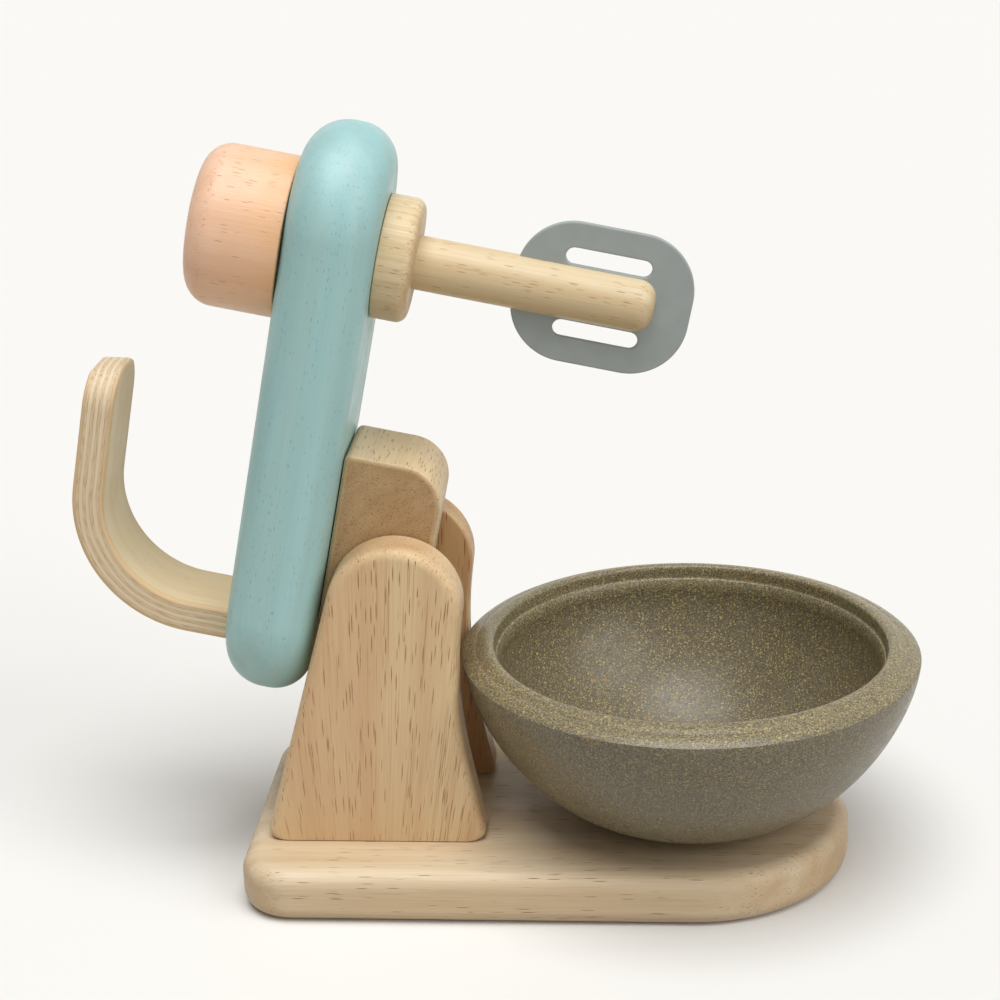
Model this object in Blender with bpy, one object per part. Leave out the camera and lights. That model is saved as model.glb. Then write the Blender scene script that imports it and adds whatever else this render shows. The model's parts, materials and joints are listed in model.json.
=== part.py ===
"""Toy stand mixer: a wooden play mixer with a tilting head, a hand-spun beater and a loose bowl.

Metres, +Z up. The origin is the middle of the base board's underside and +X points to the bowl.
The head leans back against its two uprights, which is where it rests.
"""
import math

import bmesh
import bpy
import numpy as np
from mathutils import Vector

# Fits
SEAT_GAP = 0.0003            # between faces that are glued or rest on each other
SPIN_GAP = 0.0006            # round the shaft in the arm, and round the pivot pin
SIDE_GAP = 0.0005            # between the pivot block and each upright
CUT_OVERRUN = 0.004          # how far a cutter reaches past the face it opens
WELD_DISTANCE = 0.000001     # points nearer than this are one point

# Facet counts
RIM_STEPS = 3                # facets of a quarter-round rim
ROLL_STEPS = 5               # facets of a large quarter-round
CORNER_STEPS = 7             # facets of a quarter-round corner in an outline
ARCH_STEPS = 18
FLANK_STEPS = 10
TURNED_STEPS = 44
SHAFT_STEPS = 32
BOWL_STEPS = 60
PEG_STEPS = 16

# Base board
BASE_WIDTH = 0.0942
BASE_THICKNESS = 0.0156
BASE_REAR_CORNER = 0.0150
BASE_EDGE_ROLL = 0.0050
REAR_OVERHANG = 0.0455       # board's rear end to the middle of the uprights' arches

# Uprights
UPRIGHT_THICKNESS = 0.0120
ARCH_RADIUS = 0.0190
ARCH_HEIGHT = 0.0705         # arch centre above the board
ARCH_TUCK = math.radians(8)  # how far the arch runs on past level at the front
FLARE_ANGLE = math.radians(12.4)
FRONT_FOOT_REACH = 0.0245    # arch centre to the front of the foot
TUCK_LENGTH_SHARE = 0.37     # of the arch height, how stiffly the front curve leaves the arch
FLARE_LENGTH_SHARE = 0.435   # of the arch height, how stiffly it comes into the foot
UPRIGHT_OUTER_ROUND = 0.0032
UPRIGHT_INNER_ROUND = 0.0008

# Pivot
HEAD_LEAN = math.radians(11.7)       # arm off plumb when the head is raised
LOWERED_SLOPE = math.radians(3.0)    # arm above level when the head is down
PIN_TO_ARM = 0.0158                  # pin's axis to the arm's underside
PIN_SETBACK = 0.0050                 # pin's axis behind the arch centre
PIN_DIAMETER = 0.0100
PIN_SEAT_DEPTH = 0.0070
PIN_CHAMFER = 0.0008

# Arm
ARM_WIDTH = 0.0574
ARM_THICKNESS = 0.0252
ARM_LENGTH = 0.1664
ARM_TAIL = 0.0414            # pin's axis to the arm's lower end
ARM_BACK_ROLL = 0.0124
ARM_UNDER_ROLL = 0.0108

# Pivot block
BLOCK_WIDTH = 0.0296
BLOCK_NOSE = 0.0366          # beyond the pin, towards the collar
BLOCK_HEEL = 0.0150          # beyond the pin, towards the arm's lower end
BLOCK_FRONT = 0.0130         # beyond the pin, away from the arm
BLOCK_CORNER = 0.0115
BLOCK_RIM_ROUND = 0.0012
BLOCK_BACK_ROUND = 0.0020

# Pegs
PEG_DIAMETER = 0.0060
PEG_LENGTH = 0.0220
PEG_CHAMFER = 0.0006
FOOT_PEG_SPREAD = 0.0170     # each side of the middle of the foot
BLOCK_PEG_SPREAD = 0.0080    # each side of the middle of the block's nose half

# Lift handle
HANDLE_THICKNESS = 0.0088
HANDLE_WIDTH = 0.0266
HANDLE_TENON = 0.0140
HANDLE_FROM_TAIL = 0.0200    # arm's lower end to the middle of the handle's root
HANDLE_STANDOFF = 0.0486     # arm's back to the outside of the grip
HANDLE_BEND_RADIUS = 0.0372  # outside of the bend
HANDLE_BEND = math.radians(89.6)
HANDLE_GRIP_LENGTH = 0.0345
HANDLE_TIP_CORNER = 0.0105   # seen from behind
HANDLE_TIP_ROUND = 0.0020    # seen from the side
HANDLE_RIM_ROUND = 0.0010

# Mixing shaft with its knob and collar
SHAFT_FROM_NOSE = 0.0348     # arm's upper end to the middle of the shaft
SHAFT_DIAMETER = 0.0149
SHAFT_LENGTH = 0.0760        # from the arm's underside to the tip
SHAFT_TIP_ROUND = 0.0052
KNOB_DIAMETER = 0.0448
KNOB_LENGTH = 0.0258
KNOB_ROUND = 0.0077
KNOB_RIM_ROUND = 0.0008
KNOB_SOCKET_DEPTH = 0.0180
COLLAR_DIAMETER = 0.0344
COLLAR_LENGTH = 0.0096
COLLAR_ROUND = 0.0031

# Paddle
PADDLE_START = 0.0369        # from the arm's underside
PADDLE_LENGTH = 0.0492
PADDLE_WIDTH = 0.0394
PADDLE_THICKNESS = 0.0020
PADDLE_CORNER = 0.0160
PADDLE_RIM_ROUND = 0.0004
SLOT_LENGTH = 0.0238
SLOT_WIDTH = 0.0047
SLOT_OFFSET = 0.0102

# Bowl
BOWL_RADIUS = 0.0660
BOWL_BELLY_HEIGHT = 0.0489   # foot to the sharp outer edge
BOWL_FOOT_RADIUS = 0.0180
BOWL_FLOOR = 0.0055
BOWL_WELL_RADIUS = 0.0140
BOWL_OUTER_CURVE = 1.5       # exponent: higher is fuller at the belly
BOWL_INNER_CURVE = 1.6
BOWL_STANDOFF = 0.0011       # bowl to uprights
RIM_WIDTH = 0.0110           # outer edge to the inner wall below the ledge
RIM_RISE = 0.0034            # outer edge to the crest
LEDGE_DROP = 0.0044          # outer edge down to the top of the inner wall
# Rim from the outer edge inwards: share of the rim's width, share of its rise
RIM_BAND_SHARES = ((0.055, 0.24), (0.18, 0.45), (0.31, 0.57), (0.37, 0.60), (0.42, 0.67),
                   (0.53, 0.86), (0.645, 0.97), (0.745, 1.00), (0.82, 0.91), (0.86, 0.67))
# Lip from the crest down to the inner wall: share of the rim's width, share of the drop
RIM_LIP_SHARES = ((0.885, 0.07), (0.93, 0.20), (0.97, 0.45), (0.99, 0.70))


def lin_between(start, end, count):
    """Evenly spaced values from start to end, both included."""
    return np.linspace(start, end, count)


def arc(centre, radius, start_angle, end_angle, steps):
    """Points of an arc, both ends included, as rows of two coordinates."""
    angles = lin_between(start_angle, end_angle, steps + 1)
    return np.array(centre) + radius * np.column_stack((np.cos(angles), np.sin(angles)))


def bezier(start, start_handle, end_handle, end, steps):
    """Points of a cubic Bezier curve, both ends included."""
    t = lin_between(0.0, 1.0, steps + 1)[:, None]
    return ((1 - t) ** 3 * start + 3 * (1 - t) ** 2 * t * start_handle
            + 3 * (1 - t) * t ** 2 * end_handle + t ** 3 * end)


def rounded_rectangle(low, high, radii, steps):
    """Anticlockwise outline of a rectangle with its own radius at each corner.

    The radii go anticlockwise from the corner where both coordinates are highest.
    """
    signs = ((1, 1), (-1, 1), (-1, -1), (1, -1))
    parts = []
    for quarter, (sign, radius) in enumerate(zip(signs, radii)):
        corner = np.where(np.array(sign) > 0, high, low)
        centre = corner - radius * np.array(sign)
        start = quarter * math.pi / 2
        parts.append(arc(centre, radius, start, start + math.pi / 2, steps))
    return drop_repeats(np.vstack(parts))


def drop_repeats(outline):
    """The closed outline without points that repeat the one before."""
    step = np.linalg.norm(outline - np.roll(outline, 1, axis=0), axis=1)
    return outline[step > WELD_DISTANCE]


def inset(outline, depth, sole=None):
    """The anticlockwise closed outline moved inwards by depth.

    Where a sole height is given, the last and first points lie on it and stay on it.
    """
    edges = np.roll(outline, -1, axis=0) - outline
    normals = np.column_stack((-edges[:, 1], edges[:, 0]))
    normals /= np.linalg.norm(normals, axis=1)[:, None]
    before = np.roll(normals, 1, axis=0)
    mitre = (normals + before) / (1 + (normals * before).sum(axis=1))[:, None]
    moved = outline + depth * mitre
    if sole is not None:
        moved[0] = (outline[0, 0] + depth / normals[0, 0], sole)
        moved[-1] = (outline[-1, 0] + depth / normals[-2, 0], sole)
    return moved


def rim_stations(low, high, low_round, high_round, steps):
    """Places along a prism, and the inset at each, that roll both of its rims over."""
    angles = lin_between(0.0, math.pi / 2, steps + 1)
    stations = [(low + low_round * (1 - math.cos(a)), low_round * (1 - math.sin(a))) for a in angles]
    stations += [(high - high_round * (1 - math.cos(a)), high_round * (1 - math.sin(a)))
                 for a in angles[::-1]]
    return stations


def new_object(name, bm, parent=None):
    """Puts a bmesh into a new object, faces outwards and smooth with its true edges sharp."""
    bmesh.ops.remove_doubles(bm, verts=bm.verts, dist=WELD_DISTANCE)
    bmesh.ops.recalc_face_normals(bm, faces=bm.faces)
    mesh = bpy.data.meshes.new(name)
    bm.to_mesh(mesh)
    bm.free()
    mesh.shade_smooth()
    mesh.set_sharp_from_angle(angle=math.radians(35))
    item = bpy.data.objects.new(name, mesh)
    bpy.context.scene.collection.objects.link(item)
    item.parent = parent
    return item


def loft(bm, rings):
    """Joins rings of as many points each into one closed skin in bm."""
    rings = [[bm.verts.new(point) for point in ring] for ring in rings]
    for low_ring, high_ring in zip(rings, rings[1:]):
        for i in range(len(low_ring)):
            bm.faces.new((low_ring[i - 1], low_ring[i], high_ring[i], high_ring[i - 1]))
    bm.faces.new(rings[0])
    bm.faces.new(rings[-1])


def add_prism(bm, outline, stations, order, sole=None):
    """Lofts an outline through its stations into bm and caps both ends.

    order says which of x, y and z the outline's two coordinates and the station take, as "yzx".
    """
    columns = [order.index(axis) for axis in "xyz"]
    rings = []
    for place, depth in stations:
        ring = inset(outline, depth, sole)
        rings.append(np.column_stack((ring, np.full(len(ring), place)))[:, columns])
    loft(bm, rings)


def prism(name, outline, stations, order, parent=None, sole=None):
    """An object made of one lofted outline."""
    bm = bmesh.new()
    add_prism(bm, outline, stations, order, sole)
    return new_object(name, bm, parent)


def add_turning(bm, profile, steps, place=(0.0, 0.0, 0.0), axis=(0.0, 0.0, 1.0)):
    """Spins a profile of (radius, height) points about an axis through place into bm."""
    axis = Vector(axis).normalized()
    across = axis.orthogonal().normalized()
    points = [Vector(place) + across * radius + axis * height for radius, height in profile]
    verts = [bm.verts.new(point) for point in points]
    edges = [bm.edges.new(pair) for pair in zip(verts, verts[1:])]
    if profile[0][0] > 0:
        edges.append(bm.edges.new((verts[-1], verts[0])))
    bmesh.ops.spin(bm, geom=verts + edges, cent=place, axis=axis, angle=2 * math.pi, steps=steps)


def turning(name, profile, steps, parent=None):
    """A turned object about its own Z axis."""
    bm = bmesh.new()
    add_turning(bm, profile, steps)
    return new_object(name, bm, parent)


def peg_profile(radius, low, high, chamfer):
    """Profile of a solid peg with chamfered ends."""
    return ((0.0, low), (radius - chamfer, low), (radius, low + chamfer),
            (radius, high - chamfer), (radius - chamfer, high), (0.0, high))


def hole_profile(radius, low, high):
    """Profile of a plain cylinder that cuts a hole."""
    return ((0.0, low), (radius, low), (radius, high), (0.0, high))


def cut(item, cutter):
    """Cuts the cutter's shape out of the item and leaves the cutter as a guide."""
    cutter.hide_render = True
    cutter.display_type = "WIRE"
    boolean = item.modifiers.new("cut_" + cutter.name, "BOOLEAN")
    boolean.operation = "DIFFERENCE"
    boolean.solver = "EXACT"
    boolean.object = cutter


def finish(item, colour, roughness):
    """Gives the item a material of its own."""
    material = bpy.data.materials.new(item.name)
    material.use_nodes = True
    shader = material.node_tree.nodes["Principled BSDF"]
    shader.inputs["Base Color"].default_value = (*colour, 1.0)
    shader.inputs["Roughness"].default_value = roughness
    shader.inputs["Metallic"].default_value = 0.0
    item.data.materials.append(material)


def empty(name, place, turn, parent=None):
    """An empty that carries a moving body on its joint's axis."""
    item = bpy.data.objects.new(name, None)
    bpy.context.scene.collection.objects.link(item)
    item.location = place
    item.rotation_euler = (0.0, turn, 0.0)
    item.parent = parent
    return item


RUBBERWOOD = (0.66, 0.46, 0.25)
STAIN_TEAL = (0.36, 0.56, 0.53)
STAIN_PEACH = (0.74, 0.42, 0.26)
PLYWOOD = (0.60, 0.46, 0.27)
PADDLE_GREY = (0.27, 0.30, 0.30)
BOWL_OLIVE = (0.15, 0.13, 0.09)
PIN_WOOD = (0.55, 0.38, 0.20)


def front_flank():
    """Front edge of an upright from its foot up to the arch, about the arch centre."""
    arch_end = ARCH_RADIUS * np.array((math.cos(ARCH_TUCK), -math.sin(ARCH_TUCK)))
    arch_handle = arch_end + ARCH_HEIGHT * TUCK_LENGTH_SHARE * np.array(
        (-math.sin(ARCH_TUCK), -math.cos(ARCH_TUCK)))
    foot = np.array((FRONT_FOOT_REACH, -ARCH_HEIGHT))
    foot_handle = foot + ARCH_HEIGHT * FLARE_LENGTH_SHARE * np.array(
        (-math.sin(FLARE_ANGLE), math.cos(FLARE_ANGLE)))
    return bezier(foot, foot_handle, arch_handle, arch_end, FLANK_STEPS)


# Side view of the pivot, about the arch centre, as (forward, up)
UP_ARM = np.array((math.sin(HEAD_LEAN), math.cos(HEAD_LEAN)))
OUT_OF_ARM = np.array((math.cos(HEAD_LEAN), -math.sin(HEAD_LEAN)))
# The pin's height lets the lowered arm come to rest on the tops of the arches
PIN_RISE = ((ARCH_RADIUS + SEAT_GAP - PIN_TO_ARM - PIN_SETBACK * math.sin(LOWERED_SLOPE))
            / math.cos(LOWERED_SLOPE))
PIN_FROM_ARCH = np.array((-PIN_SETBACK, PIN_RISE))


def rear_edge():
    """Where the straight rear edge leaves the arch, as an angle, and where it meets the board.

    The edge is tangent to the arch, and the raised arm rests on it where its flat underside ends.
    """
    rest = (PIN_FROM_ARCH - (PIN_TO_ARM - SEAT_GAP) * OUT_OF_ARM
            - (ARM_TAIL - ARM_UNDER_ROLL) * UP_ARM)
    distance = np.linalg.norm(rest)
    bearing = math.atan2(rest[1], rest[0])
    tangent_angle = bearing - math.acos(ARCH_RADIUS / distance) + 2 * math.pi
    normal = np.array((math.cos(tangent_angle), math.sin(tangent_angle)))
    foot_forward = (ARCH_RADIUS + ARCH_HEIGHT * normal[1]) / normal[0]
    return tangent_angle, np.array((foot_forward, -ARCH_HEIGHT))


def upright_outline():
    """Anticlockwise side view of an upright about the arch centre, from its front foot."""
    tangent_angle, rear_foot = rear_edge()
    arch = arc((0.0, 0.0), ARCH_RADIUS, -ARCH_TUCK, tangent_angle, ARCH_STEPS)
    return np.vstack((front_flank(), arch[1:], rear_foot))


# Places worked out from the sizes above
UPRIGHT_INNER = BLOCK_WIDTH / 2 + SIDE_GAP
UPRIGHT_OUTER = UPRIGHT_INNER + UPRIGHT_THICKNESS
WAIST_REACH = front_flank()[:, 0].min()
BOWL_FROM_ARCH = (WAIST_REACH + BOWL_STANDOFF
                  + math.sqrt(BOWL_RADIUS ** 2 - UPRIGHT_INNER ** 2))
BASE_LENGTH = REAR_OVERHANG + BOWL_FROM_ARCH + BASE_WIDTH / 2
ARCH_X = REAR_OVERHANG - BASE_LENGTH / 2
ARCH_Z = BASE_THICKNESS + SEAT_GAP + ARCH_HEIGHT
BOWL_X = ARCH_X + BOWL_FROM_ARCH
SOLE_Z = BASE_THICKNESS + SEAT_GAP
PIN_X = ARCH_X + PIN_FROM_ARCH[0]
PIN_Z = ARCH_Z + PIN_FROM_ARCH[1]
PEG_RADIUS = PEG_DIAMETER / 2
PIN_RADIUS = PIN_DIAMETER / 2
SHAFT_RADIUS = SHAFT_DIAMETER / 2
ARM_BACK = -PIN_TO_ARM - ARM_THICKNESS
ARM_NOSE = ARM_LENGTH - ARM_TAIL
SHAFT_REACH = ARM_NOSE - SHAFT_FROM_NOSE     # pin's axis to the shaft, along the arm
PIN_HALF_LENGTH = UPRIGHT_INNER + PIN_SEAT_DEPTH - SEAT_GAP


def foot_peg_sites():
    """Name, forward and sideways place of each peg under the uprights."""
    middle = ARCH_X + (rear_edge()[1][0] + FRONT_FOOT_REACH) / 2
    across = (UPRIGHT_INNER + UPRIGHT_OUTER) / 2
    return (("right_rear_dowel", middle - FOOT_PEG_SPREAD, -across),
            ("right_front_dowel", middle + FOOT_PEG_SPREAD, -across),
            ("left_rear_dowel", middle - FOOT_PEG_SPREAD, across),
            ("left_front_dowel", middle + FOOT_PEG_SPREAD, across))


def make_base():
    """Board with a half-round front end, rolled all round, and holes for the foot pegs."""
    half = BASE_WIDTH / 2
    outline = rounded_rectangle(
        np.array((-BASE_LENGTH / 2, -half)), np.array((BASE_LENGTH / 2, half)),
        (half, BASE_REAR_CORNER, BASE_REAR_CORNER, half), 2 * CORNER_STEPS)
    stations = rim_stations(0.0, BASE_THICKNESS, BASE_EDGE_ROLL, BASE_EDGE_ROLL, RIM_STEPS)
    board = prism("base_board", outline, stations, "xyz")
    bm = bmesh.new()
    for _, x, y in foot_peg_sites():
        floor = SOLE_Z - PEG_LENGTH / 2 - SEAT_GAP
        add_turning(bm, hole_profile(PEG_RADIUS + SEAT_GAP, floor, SOLE_Z + CUT_OVERRUN),
                    PEG_STEPS, (x, y, 0.0))
    cut(board, new_object("board_peg_holes", bm))
    finish(board, RUBBERWOOD, 0.55)


def make_upright(name, side):
    """One cheek, with a soft outer rim, the pin's blind hole and its own peg holes."""
    outline = upright_outline() + np.array((ARCH_X, ARCH_Z))
    if side < 0:
        stations = rim_stations(-UPRIGHT_OUTER, -UPRIGHT_INNER, UPRIGHT_OUTER_ROUND,
                                UPRIGHT_INNER_ROUND, RIM_STEPS)
    else:
        stations = rim_stations(UPRIGHT_INNER, UPRIGHT_OUTER, UPRIGHT_INNER_ROUND,
                                UPRIGHT_OUTER_ROUND, RIM_STEPS)
    upright = prism(name, outline, stations, "xzy", sole=SOLE_Z)
    bm = bmesh.new()
    reach = PIN_HALF_LENGTH + SEAT_GAP
    add_turning(bm, hole_profile(PIN_RADIUS + SEAT_GAP, UPRIGHT_INNER - CUT_OVERRUN, reach),
                PEG_STEPS, (PIN_X, 0.0, PIN_Z), (0.0, side, 0.0))
    for _, x, y in foot_peg_sites():
        if y * side > 0:
            roof = SOLE_Z + PEG_LENGTH / 2 + SEAT_GAP
            add_turning(bm, hole_profile(PEG_RADIUS + SEAT_GAP, SOLE_Z - CUT_OVERRUN, roof),
                        PEG_STEPS, (x, y, 0.0))
    cut(upright, new_object(name + "_holes", bm))
    finish(upright, RUBBERWOOD, 0.5)


def make_foot_pegs():
    """Four pegs, half in the board and half in the uprights."""
    profile = peg_profile(PEG_RADIUS, -PEG_LENGTH / 2, PEG_LENGTH / 2, PEG_CHAMFER)
    for name, x, y in foot_peg_sites():
        peg = turning(name, profile, PEG_STEPS)
        peg.location = (x, y, SOLE_Z)
        finish(peg, PIN_WOOD, 0.6)


def make_pin():
    """Pin through the block, held in both uprights."""
    profile = peg_profile(PIN_RADIUS, -PIN_HALF_LENGTH, PIN_HALF_LENGTH, PIN_CHAMFER)
    pin = turning("pivot_pin", profile, PEG_STEPS)
    pin.location = (PIN_X, 0.0, PIN_Z)
    pin.rotation_euler = (math.pi / 2, 0.0, 0.0)
    finish(pin, PIN_WOOD, 0.5)


# The head is modelled about the pin: x out of the arm's underside, z up along the arm

def block_peg_sites():
    """Name of each peg between block and arm, and its place along the arm."""
    middle = (BLOCK_NOSE + PIN_RADIUS) / 2
    return (("block_lower_dowel", middle - BLOCK_PEG_SPREAD),
            ("block_upper_dowel", middle + BLOCK_PEG_SPREAD))


def make_arm(pivot, spindle):
    """Board with half-round ends and a full rolled edge, bored for shaft, handle and pegs."""
    half = ARM_WIDTH / 2
    outline = rounded_rectangle(np.array((-half, -ARM_TAIL)), np.array((half, ARM_NOSE)),
                                (half,) * 4, 2 * CORNER_STEPS)
    stations = rim_stations(ARM_BACK, -PIN_TO_ARM, ARM_BACK_ROLL, ARM_UNDER_ROLL, ROLL_STEPS)
    arm = prism("head_arm", outline, stations, "yzx", pivot)
    bm = bmesh.new()
    for _, z in block_peg_sites():
        depth = PIN_TO_ARM + PEG_LENGTH / 2 + SEAT_GAP
        add_turning(bm, hole_profile(PEG_RADIUS + SEAT_GAP, PIN_TO_ARM - CUT_OVERRUN, depth),
                    PEG_STEPS, (0.0, 0.0, z), (-1.0, 0.0, 0.0))
    root = HANDLE_FROM_TAIL - ARM_TAIL
    half_slot = HANDLE_THICKNESS / 2 + SEAT_GAP
    slot = rounded_rectangle(
        np.array((-HANDLE_WIDTH / 2 - SEAT_GAP, root - half_slot)),
        np.array((HANDLE_WIDTH / 2 + SEAT_GAP, root + half_slot)),
        (HANDLE_RIM_ROUND,) * 4, 2)
    add_prism(bm, slot, ((ARM_BACK - CUT_OVERRUN, 0.0), (ARM_BACK + HANDLE_TENON, 0.0)), "yzx")
    cut(arm, new_object("arm_joinery", bm, pivot))
    bore = turning("arm_bore", hole_profile(SHAFT_RADIUS + SPIN_GAP, -ARM_THICKNESS - CUT_OVERRUN,
                                            CUT_OVERRUN), SHAFT_STEPS, spindle)
    cut(arm, bore)
    finish(arm, STAIN_TEAL, 0.5)


def make_block(pivot):
    """Round-cornered block glued under the arm, bored for the pin and two pegs."""
    back = -PIN_TO_ARM + SEAT_GAP
    outline = rounded_rectangle(
        np.array((back, -BLOCK_HEEL)), np.array((BLOCK_FRONT, BLOCK_NOSE)),
        (BLOCK_CORNER, BLOCK_BACK_ROUND, BLOCK_BACK_ROUND, BLOCK_CORNER), CORNER_STEPS)
    half = BLOCK_WIDTH / 2
    stations = rim_stations(-half, half, BLOCK_RIM_ROUND, BLOCK_RIM_ROUND, RIM_STEPS)
    # the outline is seen from the left, so its stations run from the far side to the near one
    block = prism("pivot_block", outline, stations, "xzy", pivot)
    bm = bmesh.new()
    add_turning(bm, hole_profile(PIN_RADIUS + SPIN_GAP, -half - CUT_OVERRUN, half + CUT_OVERRUN),
                PEG_STEPS, (0.0, 0.0, 0.0), (0.0, 1.0, 0.0))
    for _, z in block_peg_sites():
        depth = PEG_LENGTH / 2 - PIN_TO_ARM + SEAT_GAP
        add_turning(bm, hole_profile(PEG_RADIUS + SEAT_GAP, back - CUT_OVERRUN, depth),
                    PEG_STEPS, (0.0, 0.0, z), (1.0, 0.0, 0.0))
    cut(block, new_object("block_holes", bm, pivot))
    finish(block, RUBBERWOOD, 0.55)
    profile = peg_profile(PEG_RADIUS, -PEG_LENGTH / 2, PEG_LENGTH / 2, PEG_CHAMFER)
    for name, z in block_peg_sites():
        peg = turning(name, profile, PEG_STEPS, pivot)
        peg.location = (-PIN_TO_ARM, 0.0, z)
        peg.rotation_euler = (0.0, math.pi / 2, 0.0)
        finish(peg, PIN_WOOD, 0.6)


def handle_stations():
    """Places along the J: point, turn so far, half thickness and half width.

    The root runs straight out of the arm's back, the bend follows, and the grip runs up to a tip
    whose corners are round from behind and whose edges are eased from the side.
    """
    root = HANDLE_FROM_TAIL - ARM_TAIL
    bend_radius = HANDLE_BEND_RADIUS - HANDLE_THICKNESS / 2
    centre = np.array((ARM_BACK - HANDLE_STANDOFF + HANDLE_BEND_RADIUS, root + bend_radius))
    thick = HANDLE_THICKNESS / 2
    wide = HANDLE_WIDTH / 2
    stations = [(np.array((ARM_BACK + HANDLE_TENON - SEAT_GAP, root)), 0.0, thick, wide)]
    for turn in lin_between(0.0, HANDLE_BEND, 2 * CORNER_STEPS + 1):
        point = centre - bend_radius * np.array((math.sin(turn), math.cos(turn)))
        stations.append((point, turn, thick, wide))
    onward = np.array((-math.cos(HANDLE_BEND), math.sin(HANDLE_BEND)))
    for angle in lin_between(0.0, math.pi / 2, 2 * RIM_STEPS + 1):
        left = HANDLE_TIP_CORNER * (1 - math.sin(angle))
        left_in_round = min(left, HANDLE_TIP_ROUND)
        corner = HANDLE_TIP_CORNER - math.sqrt(HANDLE_TIP_CORNER ** 2 - (HANDLE_TIP_CORNER - left) ** 2)
        eased = HANDLE_TIP_ROUND - math.sqrt(HANDLE_TIP_ROUND ** 2
                                             - (HANDLE_TIP_ROUND - left_in_round) ** 2)
        stations.append((point + onward * (HANDLE_GRIP_LENGTH - left), HANDLE_BEND,
                         thick - eased, wide - corner))
    return stations


def make_handle(pivot):
    """Bent plywood J, let into the arm's back: one section carried along the bend."""
    rings = []
    for point, turn, thick, wide in handle_stations():
        half = np.array((thick, wide))
        section = rounded_rectangle(-half, half, (HANDLE_RIM_ROUND,) * 4, 2)
        rings.append(np.column_stack((point[0] + section[:, 0] * math.sin(turn), section[:, 1],
                                      point[1] + section[:, 0] * math.cos(turn))))
    bm = bmesh.new()
    loft(bm, rings)
    finish(new_object("lift_handle", bm, pivot), PLYWOOD, 0.55)


# The spinning pieces are modelled about the shaft: z towards the paddle, from the arm's underside

def quarter_round(radius, height, size, steps, upward):
    """Profile points that roll a rim of the given radius over onto its end face."""
    angles = lin_between(0.0, math.pi / 2, steps + 1)
    direction = 1 if upward else -1
    return [(radius - size * (1 - math.cos(a)), height - direction * size * (1 - math.sin(a)))
            for a in angles]


def make_knob(spindle):
    """Turned knob behind the arm, with a blind socket for the shaft."""
    radius = KNOB_DIAMETER / 2
    face = -ARM_THICKNESS - SEAT_GAP
    end = face - KNOB_LENGTH
    socket = SHAFT_RADIUS + SEAT_GAP
    profile = [(0.0, end)]
    profile += quarter_round(radius, end, KNOB_ROUND, ROLL_STEPS, False)[::-1]
    profile += quarter_round(radius, face, KNOB_RIM_ROUND, RIM_STEPS, True)
    profile += [(socket, face), (socket, face - KNOB_SOCKET_DEPTH), (0.0, face - KNOB_SOCKET_DEPTH)]
    finish(turning("mixer_knob", profile, TURNED_STEPS, spindle), STAIN_PEACH, 0.5)


def make_collar(spindle):
    """Turned ring against the arm's underside, glued on the shaft."""
    radius = COLLAR_DIAMETER / 2
    face = SEAT_GAP
    end = face + COLLAR_LENGTH
    bore = SHAFT_RADIUS + SEAT_GAP
    profile = [(bore, face)]
    profile += quarter_round(radius, face, PIN_CHAMFER, 2, False)[::-1]
    profile += quarter_round(radius, end, COLLAR_ROUND, RIM_STEPS, True)
    profile += [(bore, end)]
    finish(turning("mixer_collar", profile, TURNED_STEPS, spindle), RUBBERWOOD, 0.5)


def make_shaft(spindle):
    """Dowel from the knob's socket to its round tip, sawn open along the middle for the paddle."""
    start = -ARM_THICKNESS - KNOB_SOCKET_DEPTH
    end = SHAFT_LENGTH
    profile = [(0.0, start), (SHAFT_RADIUS - PIN_CHAMFER, start), (SHAFT_RADIUS, start + PIN_CHAMFER)]
    profile += quarter_round(SHAFT_RADIUS, end, SHAFT_TIP_ROUND, RIM_STEPS + 1, True)
    profile += [(0.0, end)]
    shaft = turning("mixer_shaft", profile, SHAFT_STEPS, spindle)
    kerf_start = PADDLE_START - SEAT_GAP
    kerf_half = PADDLE_THICKNESS / 2 + SEAT_GAP
    reach = SHAFT_RADIUS + CUT_OVERRUN
    kerf = rounded_rectangle(np.array((-reach, kerf_start)), np.array((reach, end + CUT_OVERRUN)),
                             (0.0,) * 4, 1)
    cut(shaft, prism("shaft_kerf", kerf, ((-kerf_half, 0.0), (kerf_half, 0.0)), "xzy", spindle))
    finish(shaft, RUBBERWOOD, 0.5)


def make_paddle(spindle):
    """Flat beater with round corners and two slots, standing in the shaft's kerf."""
    half = PADDLE_WIDTH / 2
    end = PADDLE_START + PADDLE_LENGTH
    outline = rounded_rectangle(np.array((-half, PADDLE_START)), np.array((half, end)),
                                (PADDLE_CORNER,) * 4, CORNER_STEPS)
    thick = PADDLE_THICKNESS / 2
    paddle = prism("paddle", outline,
                   rim_stations(-thick, thick, PADDLE_RIM_ROUND, PADDLE_RIM_ROUND, 2),
                   "xzy", spindle)
    middle = (PADDLE_START + end) / 2
    bm = bmesh.new()
    for side in (-1, 1):
        centre = np.array((side * SLOT_OFFSET, middle))
        reach = np.array((SLOT_WIDTH / 2, SLOT_LENGTH / 2))
        slot = rounded_rectangle(centre - reach, centre + reach, (SLOT_WIDTH / 2,) * 4, RIM_STEPS)
        add_prism(bm, slot, ((-thick - CUT_OVERRUN, 0.0), (thick + CUT_OVERRUN, 0.0)), "xzy")
    cut(paddle, new_object("paddle_slots", bm, spindle))
    finish(paddle, PADDLE_GREY, 0.6)


def wall_profile(top_radius, top, foot_radius, foot, curve, steps):
    """Bowl wall from its foot up: a superellipse that stands plumb at the top, flat at the foot."""
    depth = 1 - (1 - lin_between(0.0, 1.0, steps + 1)) ** 2
    height = foot + (top - foot) * depth
    share = np.sqrt(1 - (1 - depth) ** curve)
    return list(zip(foot_radius + (top_radius - foot_radius) * share, height))


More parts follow.
